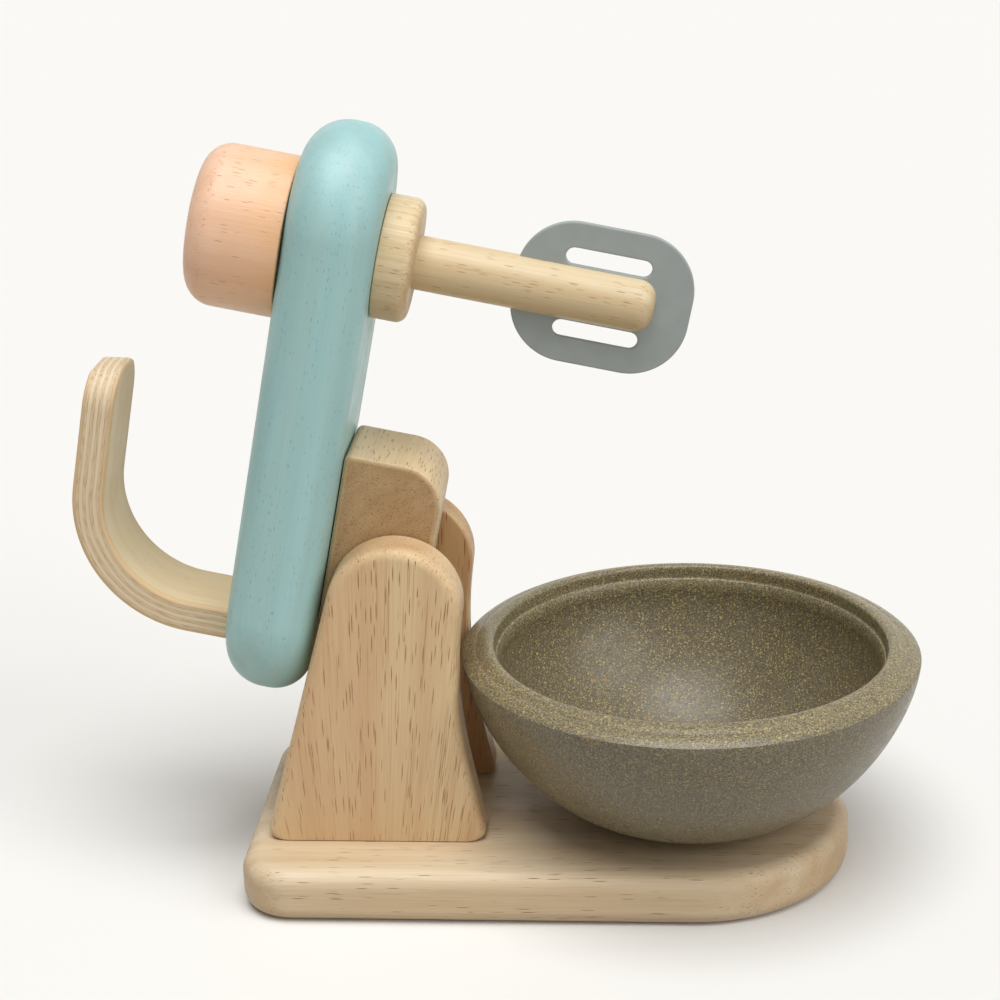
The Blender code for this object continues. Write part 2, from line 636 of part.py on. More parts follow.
def make_bowl():
    """Turned bowl on a flat foot, with a ribbed rim band, a rounded crest and a ledge inside it."""
    edge = BOWL_BELLY_HEIGHT
    inner_radius = BOWL_RADIUS - RIM_WIDTH
    profile = [(0.0, 0.0)]
    profile += wall_profile(BOWL_RADIUS, edge, BOWL_FOOT_RADIUS, 0.0, BOWL_OUTER_CURVE, 9)
    profile += [(BOWL_RADIUS - RIM_WIDTH * across, edge + RIM_RISE * up)
                for across, up in RIM_BAND_SHARES]
    profile += [(BOWL_RADIUS - RIM_WIDTH * across, edge - LEDGE_DROP * down)
                for across, down in RIM_LIP_SHARES]
    profile += wall_profile(inner_radius, edge - LEDGE_DROP, BOWL_WELL_RADIUS, BOWL_FLOOR,
                            BOWL_INNER_CURVE, 8)[::-1]
    profile += [(0.0, BOWL_FLOOR)]
    bowl = turning("bowl", profile, BOWL_STEPS)
    bowl.location = (BOWL_X, 0.0, BASE_THICKNESS + SEAT_GAP)
    finish(bowl, BOWL_OLIVE, 0.6)


def main():
    """Clears the scene and builds the toy."""
    for item in list(bpy.data.objects):
        bpy.data.objects.remove(item)
    make_base()
    make_upright("right_upright", -1)
    make_upright("left_upright", 1)
    make_foot_pegs()
    make_pin()
    pivot = empty("head_pivot", (PIN_X, 0.0, PIN_Z), HEAD_LEAN)
    spindle = empty("mixer_spindle", (-PIN_TO_ARM, 0.0, SHAFT_REACH), math.pi / 2, pivot)
    make_arm(pivot, spindle)
    make_block(pivot)
    make_handle(pivot)
    make_knob(spindle)
    make_collar(spindle)
    make_shaft(spindle)
    make_paddle(spindle)
    make_bowl()
    bpy.context.view_layer.update()


main()
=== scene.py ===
"""Looks of the toy stand mixer.

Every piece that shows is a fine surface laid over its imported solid, in metres and in the same frame,
and each has its own procedural finish: clear and stained rubberwood, bent plywood, grey sheet and a
speckled wood composite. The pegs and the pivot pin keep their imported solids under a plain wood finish.
"""

import json
import logging
import math
from dataclasses import dataclass, field
from enum import Enum

import bpy
import numpy as np
from mathutils import Matrix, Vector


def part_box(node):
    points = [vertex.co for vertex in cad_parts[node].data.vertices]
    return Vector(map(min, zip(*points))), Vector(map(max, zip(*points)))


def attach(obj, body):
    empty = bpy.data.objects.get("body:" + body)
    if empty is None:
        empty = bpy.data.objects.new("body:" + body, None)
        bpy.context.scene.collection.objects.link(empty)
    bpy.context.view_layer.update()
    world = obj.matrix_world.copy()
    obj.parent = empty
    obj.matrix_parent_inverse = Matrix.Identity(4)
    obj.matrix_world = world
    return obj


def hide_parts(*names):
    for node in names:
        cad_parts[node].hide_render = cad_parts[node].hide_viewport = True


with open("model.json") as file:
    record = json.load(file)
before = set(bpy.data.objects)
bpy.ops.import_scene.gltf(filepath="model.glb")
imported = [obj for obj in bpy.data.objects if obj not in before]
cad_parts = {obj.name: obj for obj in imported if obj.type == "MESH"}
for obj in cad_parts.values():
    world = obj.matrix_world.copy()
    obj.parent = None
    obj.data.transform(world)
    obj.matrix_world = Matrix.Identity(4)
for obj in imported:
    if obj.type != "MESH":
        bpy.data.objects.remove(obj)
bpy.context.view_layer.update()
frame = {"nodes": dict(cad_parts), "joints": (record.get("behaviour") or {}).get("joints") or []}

log = logging.getLogger("toy_mixer")

Array = np.ndarray
Colour = tuple[float, float, float]
Socket = bpy.types.NodeSocket
WELD = 1e-7
FACE_SHARE = 0.12
FACE_MARGIN = 0.0002
# Edge radii for the edge tone, which stands partly for real wear and partly for a painted highlight on
# rounded rims: none at the soft radius, full at the sharp one.
EDGE_SOFT = 0.005
EDGE_SHARP = 0.0012
SHARP_ANGLE = math.radians(32)


class Grain(Enum):
    """Way the wood's grain runs in a piece."""

    ALONG_BOARD = "along x"
    UPRIGHT = "along z"
    ACROSS = "along y"
    ALONG_ARM = "along the arm"
    ALONG_SHAFT = "along the shaft"


# Geometry: outlines, slabs, turnings and sweeps as numpy grids


def linear(red: int, green: int, blue: int) -> Colour:
    """Turns a colour read as 0 to 255 into the linear values that a shader takes.

    Args:
        red: Red from 0 to 255.
        green: Green from 0 to 255.
        blue: Blue from 0 to 255.

    Returns:
        The linear colour.
    """
    share = np.array((red, green, blue)) / 255.0
    value = np.where(share <= 0.04045, share / 12.92, ((share + 0.055) / 1.055) ** 2.4)
    return tuple(float(v) for v in value)


def arc(centre: Array, radius: float, start: float, end: float, steps: int) -> Array:
    """Points and insets of an arc: centre + radius (cos a, sin a), inset straight to the centre.

    Args:
        centre: Two coordinates.
        radius: Radius in metres.
        start: First angle in radians.
        end: Last angle in radians.
        steps: Count of facets.

    Returns:
        Rows of x, y and the outward direction x, y.
    """
    angle = np.linspace(start, end, steps + 1)
    way = np.column_stack((np.cos(angle), np.sin(angle)))
    return np.column_stack((np.asarray(centre) + radius * way, way))


def rounded_box(low: tuple[float, float], high: tuple[float, float],
                radii: tuple[float, float, float, float], steps: int) -> Array:
    """Anticlockwise outline of a rectangle with round corners, from the high, high corner.

    Args:
        low: Lowest corner.
        high: Highest corner.
        radii: Corner radii, anticlockwise from the high, high corner.
        steps: Facets of each corner.

    Returns:
        Rows of x, y and the outward direction x, y.
    """
    signs = np.array(((1, 1), (-1, 1), (-1, -1), (1, -1)))
    rows = []
    for quarter, (sign, radius) in enumerate(zip(signs, radii)):
        corner = np.where(sign > 0, high, low)
        start = quarter * math.pi / 2
        rows.append(arc(corner - radius * sign, radius, start, start + math.pi / 2, steps))
    outline = np.vstack(rows)
    step = np.linalg.norm(outline[:, :2] - np.roll(outline[:, :2], 1, axis=0), axis=1)
    return outline[step > WELD]


def cubic(start: Array, start_pull: Array, end_pull: Array, end: Array, steps: int) -> Array:
    """Points and right-hand normals of a cubic Bezier, B(t) = sum of the four weighted points.

    Args:
        start: First point.
        start_pull: First handle.
        end_pull: Second handle.
        end: Last point.
        steps: Count of facets.

    Returns:
        Rows of x, y and the direction to the right of travel.
    """
    t = np.linspace(0.0, 1.0, steps + 1)[:, None]
    s = 1 - t
    point = s ** 3 * start + 3 * s * s * t * start_pull + 3 * s * t * t * end_pull + t ** 3 * end
    travel = s * s * (start_pull - start) + 2 * s * t * (end_pull - start_pull) + t * t * (end - end_pull)
    travel /= np.linalg.norm(travel, axis=1)[:, None]
    return np.column_stack((point, travel[:, 1], -travel[:, 0]))


def through_points(points: Array, steps: int) -> Array:
    """Smooth open curve through points, a Catmull-Rom spline with evenly weighted tangents.

    Args:
        points: Rows of two coordinates.
        steps: Facets between two points.

    Returns:
        Rows of two coordinates, the given points among them.
    """
    padded = np.vstack((2 * points[0] - points[1], points, 2 * points[-1] - points[-2]))
    t = (np.arange(steps) / steps)[None, :, None]
    a, b, c, d = (padded[i:len(padded) - 3 + i, None, :] for i in range(4))
    curve = 0.5 * (2 * b + (c - a) * t + (2 * a - 5 * b + 4 * c - d) * t ** 2
                   + (3 * b - a - 3 * c + d) * t ** 3)
    return np.vstack((curve.reshape(-1, 2), points[-1]))


def grid_quads(rows: int, columns: int, wrap: bool, first: int = 0) -> Array:
    """Corner numbers of the quads of a grid of points.

    Args:
        rows: Count of rows.
        columns: Count of points in a row.
        wrap: Whether the last column joins the first.
        first: Number of the grid's first point.

    Returns:
        Rows of four corner numbers.
    """
    count = columns if wrap else columns - 1
    i, j = np.meshgrid(np.arange(rows - 1), np.arange(count), indexing="ij")
    k = (j + 1) % columns
    quads = np.stack((i * columns + j, i * columns + k, (i + 1) * columns + k, (i + 1) * columns + j), -1)
    return quads.reshape(-1, 4) + first


@dataclass
class Skin:
    """Points and faces of a piece while it is being worked out.

    Attributes:
        points: Rows of x, y, z.
        faces: Corner numbers of each face.
        flat: Where a pattern follows the surface, each point's place with the piece laid flat.
    """

    points: Array = field(default_factory=lambda: np.zeros((0, 3)))
    faces: list[list[int]] = field(default_factory=list)
    flat: Array | None = None

    def add_grid(self, grid: Array, wrap: bool = True, close: tuple[bool, bool] = (False, False)) -> None:
        """Adds a grid of points with its quads.

        Args:
            grid: Array of rows by columns by 3.
            wrap: Whether the last column joins the first.
            close: Whether the first and the last row are each closed by one flat face.
        """
        rows, columns = grid.shape[:2]
        first = len(self.points)
        self.points = np.vstack((self.points, grid.reshape(-1, 3)))
        self.faces += grid_quads(rows, columns, wrap, first).tolist()
        if close[0]:
            self.faces.append(list(range(first, first + columns))[::-1])
        if close[1]:
            self.faces.append(list(range(first + (rows - 1) * columns, first + rows * columns)))

    def moved(self, turn: Array, place: Array) -> "Skin":
        """The skin turned and moved: p becomes turn p + place.

        Args:
            turn: Matrix of 3 by 3.
            place: Shift in metres.

        Returns:
            The skin itself.
        """
        self.points = self.points @ np.asarray(turn).T + np.asarray(place)
        return self

    def fitted(self, low: Array, high: Array) -> "Skin":
        """The skin shrunk along each axis, where it is larger than a box, and centred in it.

        Args:
            low: Lowest corner of the box.
            high: Highest corner of the box.

        Returns:
            The skin itself.
        """
        own_low = self.points.min(axis=0)
        own_high = self.points.max(axis=0)
        share = np.minimum(1.0, (high - low) / (own_high - own_low))
        middle = np.where(share < 1.0, (low + high) / 2, (own_low + own_high) / 2)
        self.points = middle + share * (self.points - (own_low + own_high) / 2)
        return self

    def to_object(self, name: str) -> bpy.types.Object:
        """Makes a Blender object at the origin, welded, closed, faces outwards and smooth.

        Args:
            name: Name of the piece.

        Returns:
            The new object, linked to the scene.
        """
        welded, index = np.unique(np.round(self.points / WELD).astype(np.int64), axis=0,
                                  return_inverse=True)
        index = index.reshape(-1)
        first = np.full(len(welded), -1)
        first[index[::-1]] = np.arange(len(index))[::-1]
        faces = []
        for face in self.faces:
            corners = [int(index[i]) for i in face]
            kept = [c for i, c in enumerate(corners) if c != corners[i - 1]]
            if len(kept) > 2:
                faces.append(kept)
        points = self.points[first]
        mesh = bpy.data.meshes.new(name)
        mesh.from_pydata(points.tolist(), [], faces)
        if signed_volume(points, faces) < 0:
            mesh.flip_normals()
        mesh.shade_smooth()
        mesh.set_sharp_from_angle(angle=SHARP_ANGLE)
        if self.flat is not None:
            laid = mesh.attributes.new("laid_flat", "FLOAT_VECTOR", "POINT")
            laid.data.foreach_set("vector", self.flat[first].astype(np.float32).ravel())
        mesh.validate()
        # Edge sharpness feeds the finishes' edge tone: partly real wear, partly a painted highlight.
        mesh.attributes.new("edge_sharpness", "FLOAT", "POINT").data.foreach_set("value", edge_sharpness(mesh))
        item = bpy.data.objects.new(name, mesh)
        bpy.context.scene.collection.objects.link(item)
        return item


def edge_sharpness(mesh: bpy.types.Mesh) -> Array:
    """How sharply the surface turns at each point, which the finishes use to tint edges: partly real wear,
    partly a painted highlight on rounded rims.

    Turn along a mesh edge = (normal a - normal b) . (a - b) / |a - b|^2, and a point takes the largest
    of its own, eased from 0 at the soft edge radius to 1 at the sharp edge radius set above.

    Args:
        mesh: Mesh with its faces outwards.

    Returns:
        Values from 0 to 1, one for each point.
    """
    place = np.empty(len(mesh.vertices) * 3)
    normal = np.empty(len(mesh.vertices) * 3)
    pair = np.empty(len(mesh.edges) * 2, np.int32)
    mesh.vertices.foreach_get("co", place)
    mesh.vertex_normals.foreach_get("vector", normal)
    mesh.edges.foreach_get("vertices", pair)
    first, second = pair.reshape(-1, 2).T
    span = place.reshape(-1, 3)[first] - place.reshape(-1, 3)[second]
    change = normal.reshape(-1, 3)[first] - normal.reshape(-1, 3)[second]
    turn = np.einsum("ij,ij->i", change, span) / np.maximum(np.einsum("ij,ij->i", span, span), WELD ** 2)
    most = np.zeros(len(mesh.vertices))
    np.maximum.at(most, first, turn)
    np.maximum.at(most, second, turn)
    share = np.clip((most - 1 / EDGE_SOFT) / (1 / EDGE_SHARP - 1 / EDGE_SOFT), 0.0, 1.0)
    return share * share * (3 - 2 * share)


def signed_volume(points: Array, faces: list[list[int]]) -> float:
    """Volume inside a closed skin, negative where its faces point inwards.

    Args:
        points: Rows of x, y, z.
        faces: Corner numbers of each face.

    Returns:
        The volume in cubic metres, summed as fans of each face.
    """
    fans = np.array([(face[0], face[i], face[i + 1]) for face in faces for i in range(1, len(face) - 1)])
    a, b, c = (points[fans[:, i]] for i in range(3))
    return float(np.einsum("ij,ij->i", a, np.cross(b, c)).sum() / 6)


def rim_turns(low: float, high: float, low_round: float, high_round: float, steps: int) -> Array:
    """Stations that roll both rims of a slab over: depth low + r (1 - cos a), inset r (1 - sin a).

    Args:
        low: Place of the first face.
        high: Place of the last face.
        low_round: Radius at the first face.
        high_round: Radius at the last face.
        steps: Facets of each roll.

    Returns:
        Rows of place and inset, with one more row just inside each face to keep it flat.
    """
    angle = np.linspace(0.0, math.pi / 2, steps + 1)
    first = np.column_stack((low + low_round * (1 - np.cos(angle)), low_round * (1 - np.sin(angle))))
    last = np.column_stack((high - high_round * (1 - np.cos(angle)), high_round * (1 - np.sin(angle))))
    inner_first = (low, low_round + FACE_SHARE * low_round + FACE_MARGIN)
    inner_last = (high, high_round + FACE_SHARE * high_round + FACE_MARGIN)
    return np.vstack((inner_first, first, last[::-1], inner_last))


def slab(outline: Array, turns: Array, order: str) -> Skin:
    """Skin of a flat piece: outline point minus inset times its outward direction, at each place.

    Args:
        outline: Rows of x, y and the outward direction x, y.
        turns: Rows of place and inset.
        order: Which of x, y and z the two outline coordinates and the place take, as "yzx".

    Returns:
        The closed skin.
    """
    ring = outline[None, :, :2] - turns[:, 1, None, None] * outline[None, :, 2:]
    place = np.broadcast_to(turns[:, 0, None, None], ring.shape[:2] + (1,))
    grid = np.concatenate((ring, place), axis=2)[:, :, [order.index(axis) for axis in "xyz"]]
    skin = Skin()
    skin.add_grid(grid, close=(True, True))
    return skin


def turning(profile: Array, steps: int) -> Skin:
    """Skin of a turned piece about z: (r(t) cos a, r(t) sin a, h(t)), poles welded.

    Args:
        profile: Rows of radius and height.
        steps: Facets round the axis.

    Returns:
        The skin.
    """
    angle = np.arange(steps) * 2 * math.pi / steps
    radius = profile[:, 0, None]
    grid = np.stack((radius * np.cos(angle), radius * np.sin(angle),
                     np.broadcast_to(profile[:, 1, None], (len(profile), steps))), -1)
    skin = Skin()
    skin.add_grid(grid)
    return skin


def rolled_rim(radius: float, height: float, size: float, steps: int, upward: bool) -> Array:
    """Profile points that roll a turned rim onto its end face, a quarter circle.

    Args:
        radius: Outside radius.
        height: Height of the end face.
        size: Radius of the roll.
        steps: Count of facets.
        upward: Whether the end face looks up.

    Returns:
        Rows of radius and height, from the side to the end face.
    """
    angle = np.linspace(0.0, math.pi / 2, steps + 1)
    way = 1 if upward else -1
    return np.column_stack((radius - size * (1 - np.cos(angle)), height - way * size * (1 - np.sin(angle))))


@dataclass(frozen=True)
class Stand:
    """Place and turn of a sub-assembly's own axes in the toy.

    Attributes:
        place: Where its origin stands.
        turn: Matrix whose columns are its axes.
    """

    place: Array
    turn: Array


def head_stand() -> Stand:
    """Axes of the head: x out of the arm's underside, z up along the arm, from the pivot pin."""
    pin = next(j for j in frame["joints"] if j["name"] == "head_tilt")
    out = shaft_way()
    along = np.array((-out[2], 0.0, out[0]))
    return Stand(np.array(pin["pos_m"], float), np.column_stack((out, (0.0, 1.0, 0.0), along)))


def spindle_stand() -> Stand:
    """Axes of the spinning pieces: z towards the paddle, from the arm's underside."""
    spin = next(j for j in frame["joints"] if j["name"] == "mixer_spin")
    out = shaft_way()
    down_arm = np.array((out[2], 0.0, -out[0]))
    return Stand(np.array(spin["pos_m"], float), np.column_stack((down_arm, (0.0, 1.0, 0.0), out)))


def shaft_way() -> Array:
    """Direction of the mixing shaft, out of the arm's underside."""
    spin = next(j for j in frame["joints"] if j["name"] == "mixer_spin")
    way = np.array(spin["axis"], float)
    return way / np.linalg.norm(way)


def lean() -> float:
    """Angle of the raised arm off plumb, in radians."""
    return math.atan2(-shaft_way()[2], shaft_way()[0])


# Materials: a thin wrapper for node trees, the shared groups and the finishes


class Tree:
    """Adds and links nodes in one node tree."""

    def __init__(self, tree: bpy.types.NodeTree) -> None:
        """Keeps the tree that nodes go into."""
        self.tree = tree

    def node(self, kind: str, **settings: object) -> bpy.types.Node:
        """Adds a node and sets its properties.

        Args:
            kind: Node type after "ShaderNode".
            **settings: Properties of the node.

        Returns:
            The node.
        """
        made = self.tree.nodes.new("ShaderNode" + kind)
        for name, value in settings.items():
            setattr(made, name, value)
        return made

    def feed(self, socket: Socket, value: object) -> None:
        """Links a socket to value if that is a socket too, and otherwise sets it."""
        if isinstance(value, bpy.types.NodeSocket):
            self.tree.links.new(value, socket)
        else:
            socket.default_value = value

    def math(self, operation: str, *values: object) -> Socket:
        """One Math node.

        Args:
            operation: Blender's name of the operation.
            *values: Numbers or sockets.

        Returns:
            Its output.
        """
        made = self.node("Math", operation=operation)
        for socket, value in zip(made.inputs, values):
            self.feed(socket, value)
        return made.outputs[0]

    def vector(self, operation: str, *values: object) -> Socket:
        """One Vector Math node; length and dot product give their value.

        Args:
            operation: Blender's name of the operation.
            *values: Vectors or sockets.

        Returns:
            Its output.
        """
        made = self.node("VectorMath", operation=operation)
        for socket, value in zip(made.inputs, values):
            self.feed(socket, value)
        return made.outputs[1 if operation in ("LENGTH", "DOT_PRODUCT", "DISTANCE") else 0]

    def split(self, value: Socket, kind: str = "SeparateXYZ") -> tuple[Socket, Socket, Socket]:
        """The three parts of a vector, or of a colour with kind SeparateColor."""
        made = self.node(kind)
        self.feed(made.inputs[0], value)
        return tuple(made.outputs)

    def join(self, *parts: object) -> Socket:
        """The vector of three numbers or sockets."""
        made = self.node("CombineXYZ")
        for socket, value in zip(made.inputs, parts):
            self.feed(socket, value)
        return made.outputs[0]

    def group(self, group: bpy.types.NodeTree, values: dict[str, object]) -> bpy.types.Node:
        """A node of a shared group.

        Args:
            group: The group.
            values: Number, vector or socket for each input, by its name.

        Returns:
            The node.
        """
        made = self.node("Group", node_tree=group)
        for name, value in values.items():
            self.feed(made.inputs[name], value)
        return made

    def span(self, value: Socket, low: float, high: float, to_low: float = 0.0,
             to_high: float = 1.0) -> Socket:
        """Maps value from low..high to to_low..to_high with a smooth step, clamped.

        Args:
            value: Input.
            low: Value that gives to_low.
            high: Value that gives to_high.
            to_low: Result at low.
            to_high: Result at high.

        Returns:
            The mapped value.
        """
        made = self.node("MapRange", interpolation_type="SMOOTHSTEP")
        for socket, number in zip(made.inputs, (value, low, high, to_low, to_high)):
            self.feed(socket, number)
        return made.outputs[0]

    def noise(self, vector: Socket, scale: float, detail: float = 2.0,
              roughness: float = 0.5) -> bpy.types.Node:
        """A Noise Texture node.

        Args:
            vector: Where it is read.
            scale: Scale of the noise.
            detail: Octaves.
            roughness: Strength of the finer octaves.

        Returns:
            The node, whose first output is the value and second the colour.
        """
        made = self.node("TexNoise")
        self.feed(made.inputs["Vector"], vector)
        made.inputs["Scale"].default_value = scale
        made.inputs["Detail"].default_value = detail
        made.inputs["Roughness"].default_value = roughness
        return made

    def cells(self, vector: Socket, scale: float) -> bpy.types.Node:
        """A Voronoi Texture node of the nearest point.

        Args:
            vector: Where it is read.
            scale: Cells to a unit.

        Returns:
            The node, whose first output is the distance and second a colour of the cell's own.
        """
        made = self.node("TexVoronoi", feature="F1")
        self.feed(made.inputs["Vector"], vector)
        made.inputs["Scale"].default_value = scale
        return made

    def blend(self, factor: object, first: object, second: object, way: str = "MIX") -> Socket:
        """Mixes two colours.

        Args:
            factor: Share of the second, from 0 to 1.
            first: Colour or socket.
            second: Colour or socket.
            way: Blend type.

        Returns:
            The mixed colour.
        """
        made = self.node("Mix", data_type="RGBA", blend_type=way)
        self.feed(made.inputs[0], factor)
        for socket, value in ((made.inputs[6], first), (made.inputs[7], second)):
            self.feed(socket, value if isinstance(value, bpy.types.NodeSocket) else (*value, 1.0))
        return made.outputs[2]


def new_group(name: str, inputs: dict[str, object], outputs: dict[str, str]) -> tuple[Tree, dict, dict]:
    """An empty node group with named sockets.

    Args:
        name: Name of the group.
        inputs: Name and default of each input; a tuple makes a vector socket.
        outputs: Name and kind of each output.

    Returns:
        The tree, its inputs by name and its outputs by name.
    """
    group = bpy.data.node_groups.new(name, "ShaderNodeTree")
    for label, value in inputs.items():
        kind = "NodeSocketVector" if isinstance(value, tuple) else "NodeSocketFloat"
        socket = group.interface.new_socket(name=label, in_out="INPUT", socket_type=kind)
        socket.default_value = value
    for label, kind in outputs.items():
        group.interface.new_socket(name=label, in_out="OUTPUT", socket_type="NodeSocket" + kind)
    tree = Tree(group)
    entry = tree.tree.nodes.new("NodeGroupInput")
    leave = tree.tree.nodes.new("NodeGroupOutput")
    return tree, {s.name: s for s in entry.outputs if s.name}, {s.name: s for s in leave.inputs if s.name}


def build_grain_group() -> bpy.types.NodeTree:
    """Solid wood figure with x along the grain: growth bands, fibres, cloudy tone and pores.

    Bands are a sine of the distance from a wandering pith line; fibres are noise stretched along x;
    pores are long cells cut off near their middles, thinned out at random. Fan spreads the grain
    along z behind the origin, by that share of the width for each millimetre.

    Returns:
        The node group.
    """
    tree, given, made = new_group(
        "wood_grain",
        {"Place": (0.0, 0.0, 0.0), "Pith": (0.0, 60.0, 25.0), "Band Gap": 6.0, "Wander": (0.0, 4.0, 4.0),
         "Fan": 0.0, "Pore Length": 9.0, "Pore Gap": 0.9, "Pore Share": 0.3, "Line Share": 0.3},
        {"Bands": "Float", "Fibres": "Float", "Clouds": "Float", "Pores": "Float"})
    straight = tree.vector("MULTIPLY", given["Place"], (1000.0, 1000.0, 1000.0))
    ahead = tree.split(straight)[0]
    spread = tree.math("SUBTRACT", 1.0, tree.math("MULTIPLY", given["Fan"], ahead))
    place = tree.vector("MULTIPLY", straight, tree.join(1.0, 1.0, tree.math("DIVIDE", 1.0, spread)))
    drift = tree.noise(tree.vector("MULTIPLY", place, (0.22, 1.0, 1.0)), 0.03, 2.0)
    drift_way = tree.vector("SUBTRACT", drift.outputs[1], (0.5, 0.5, 0.5))
    bent = tree.vector("ADD", place, tree.vector("MULTIPLY", drift_way, given["Wander"]))
    across = tree.vector("MULTIPLY", tree.vector("SUBTRACT", bent, given["Pith"]), (0.0, 1.0, 1.0))
    turns = tree.math("DIVIDE", tree.vector("LENGTH", across), given["Band Gap"])
    uneven = tree.noise(tree.vector("MULTIPLY", bent, (0.012, 0.16, 0.16)), 1.0, 3.0).outputs[0]
    wave = tree.math("SINE", tree.math("MULTIPLY", tree.math("ADD", turns, uneven), 2 * math.pi))
    tree.feed(made["Bands"], tree.span(wave, -0.3, 1.0))
    fibre = tree.noise(tree.vector("MULTIPLY", bent, (0.024, 1.9, 1.9)), 1.0, 4.0, 0.7).outputs[0]
    tree.feed(made["Fibres"], tree.span(fibre, 0.38, 0.64))
    cloud = tree.noise(tree.vector("MULTIPLY", place, (0.004, 0.085, 0.085)), 1.0, 2.0).outputs[0]
    clouds = tree.span(cloud, 0.34, 0.66)
    tree.feed(made["Clouds"], clouds)
    along = tree.math("DIVIDE", 1.0, given["Pore Length"])
    aside = tree.math("DIVIDE", 1.0, given["Pore Gap"])
    pore = tree.cells(tree.vector("MULTIPLY", bent, tree.join(along, aside, aside)), 1.0)
    near = tree.span(pore.outputs[0], 0.16, 0.30, 1.0, 0.0)
    draw, darkness, _ = tree.split(pore.outputs[1], "SeparateColor")
    patch = tree.noise(tree.vector("MULTIPLY", place, (0.015, 0.3, 0.3)), 1.0, 2.0).outputs[0]
    likely = tree.math("MULTIPLY", given["Pore Share"], tree.span(patch, 0.36, 0.62, 0.25, 1.6))
    kept = tree.math("LESS_THAN", draw, likely)
    darkness = tree.math("ADD", tree.math("MULTIPLY", darkness, 0.45), 0.55)
    depth = tree.math("MULTIPLY", kept, darkness)
    long_line = tree.noise(tree.vector("MULTIPLY", bent, (0.035, 2.4, 2.4)), 1.0, 1.0).outputs[0]
    lines = tree.math("MULTIPLY", tree.span(long_line, 0.60, 0.74), tree.span(patch, 0.36, 0.6, 0.3, 1.0))
    lines = tree.math("MULTIPLY", lines, given["Line Share"])
    tree.feed(made["Pores"], tree.math("MAXIMUM", tree.math("MULTIPLY", near, depth), lines))
    return tree.tree


def build_mottle_group() -> bpy.types.NodeTree:
    """Fine unevenness of a sanded or moulded surface, as a mask about a half and a height.

    Returns:
        The node group.
    """
    tree, given, made = new_group("surface_mottle", {"Place": (0.0, 0.0, 0.0), "Size": 1.0},
                                  {"Mask": "Float", "Height": "Float"})
    scale = tree.math("DIVIDE", 1000.0, given["Size"])
    place = tree.node("VectorMath", operation="SCALE")
    tree.feed(place.inputs[0], given["Place"])
    tree.feed(place.inputs[3], scale)
    coarse = tree.noise(place.outputs[0], 0.12, 3.0).outputs[0]
    fine = tree.noise(place.outputs[0], 1.0, 3.0, 0.6).outputs[0]
    tree.feed(made["Mask"], tree.span(coarse, 0.3, 0.7))
    tree.feed(made["Height"], fine)
    return tree.tree


class Groups:
    """The shared node groups, built once."""

    def __init__(self) -> None:
        """Builds every group."""
        self.grain = build_grain_group()
        self.mottle = build_mottle_group()


@dataclass(frozen=True)
class Finish:
    """Base of every finish: makes one material with its Principled BSDF.

    Attributes:
        name: Name of the material.
        slot: The record's material slot; not used.
    """

    name: str
    slot: str

    def start(self, specular: float = 0.4) -> tuple[Tree, bpy.types.Node, bpy.types.Material]:
        """Starts a material.

        Args:
            specular: Specular level, the same all over.

        Returns:
            The tree, its Principled BSDF and the material.
        """
        material = bpy.data.materials.new(self.name)
        material.use_nodes = True
        tree = Tree(material.node_tree)
        shader = material.node_tree.nodes["Principled BSDF"]
        shader.inputs["Specular IOR Level"].default_value = specular
        return tree, shader, material

    def bump(self, tree: Tree, shader: bpy.types.Node, height: Socket, depth: float, strength: float) -> None:
        """Feeds a height to the shader's normal.

        Args:
            tree: The material's tree.
            shader: Its Principled BSDF.
            height: Height from 0 to 1.
            depth: Metres that a height of 1 stands.
            strength: Strength of the bump.
        """
        made = tree.node("Bump")
        made.inputs["Distance"].default_value = depth
        made.inputs["Strength"].default_value = strength
        tree.feed(made.inputs["Height"], height)
        tree.feed(shader.inputs["Normal"], made.outputs[0])


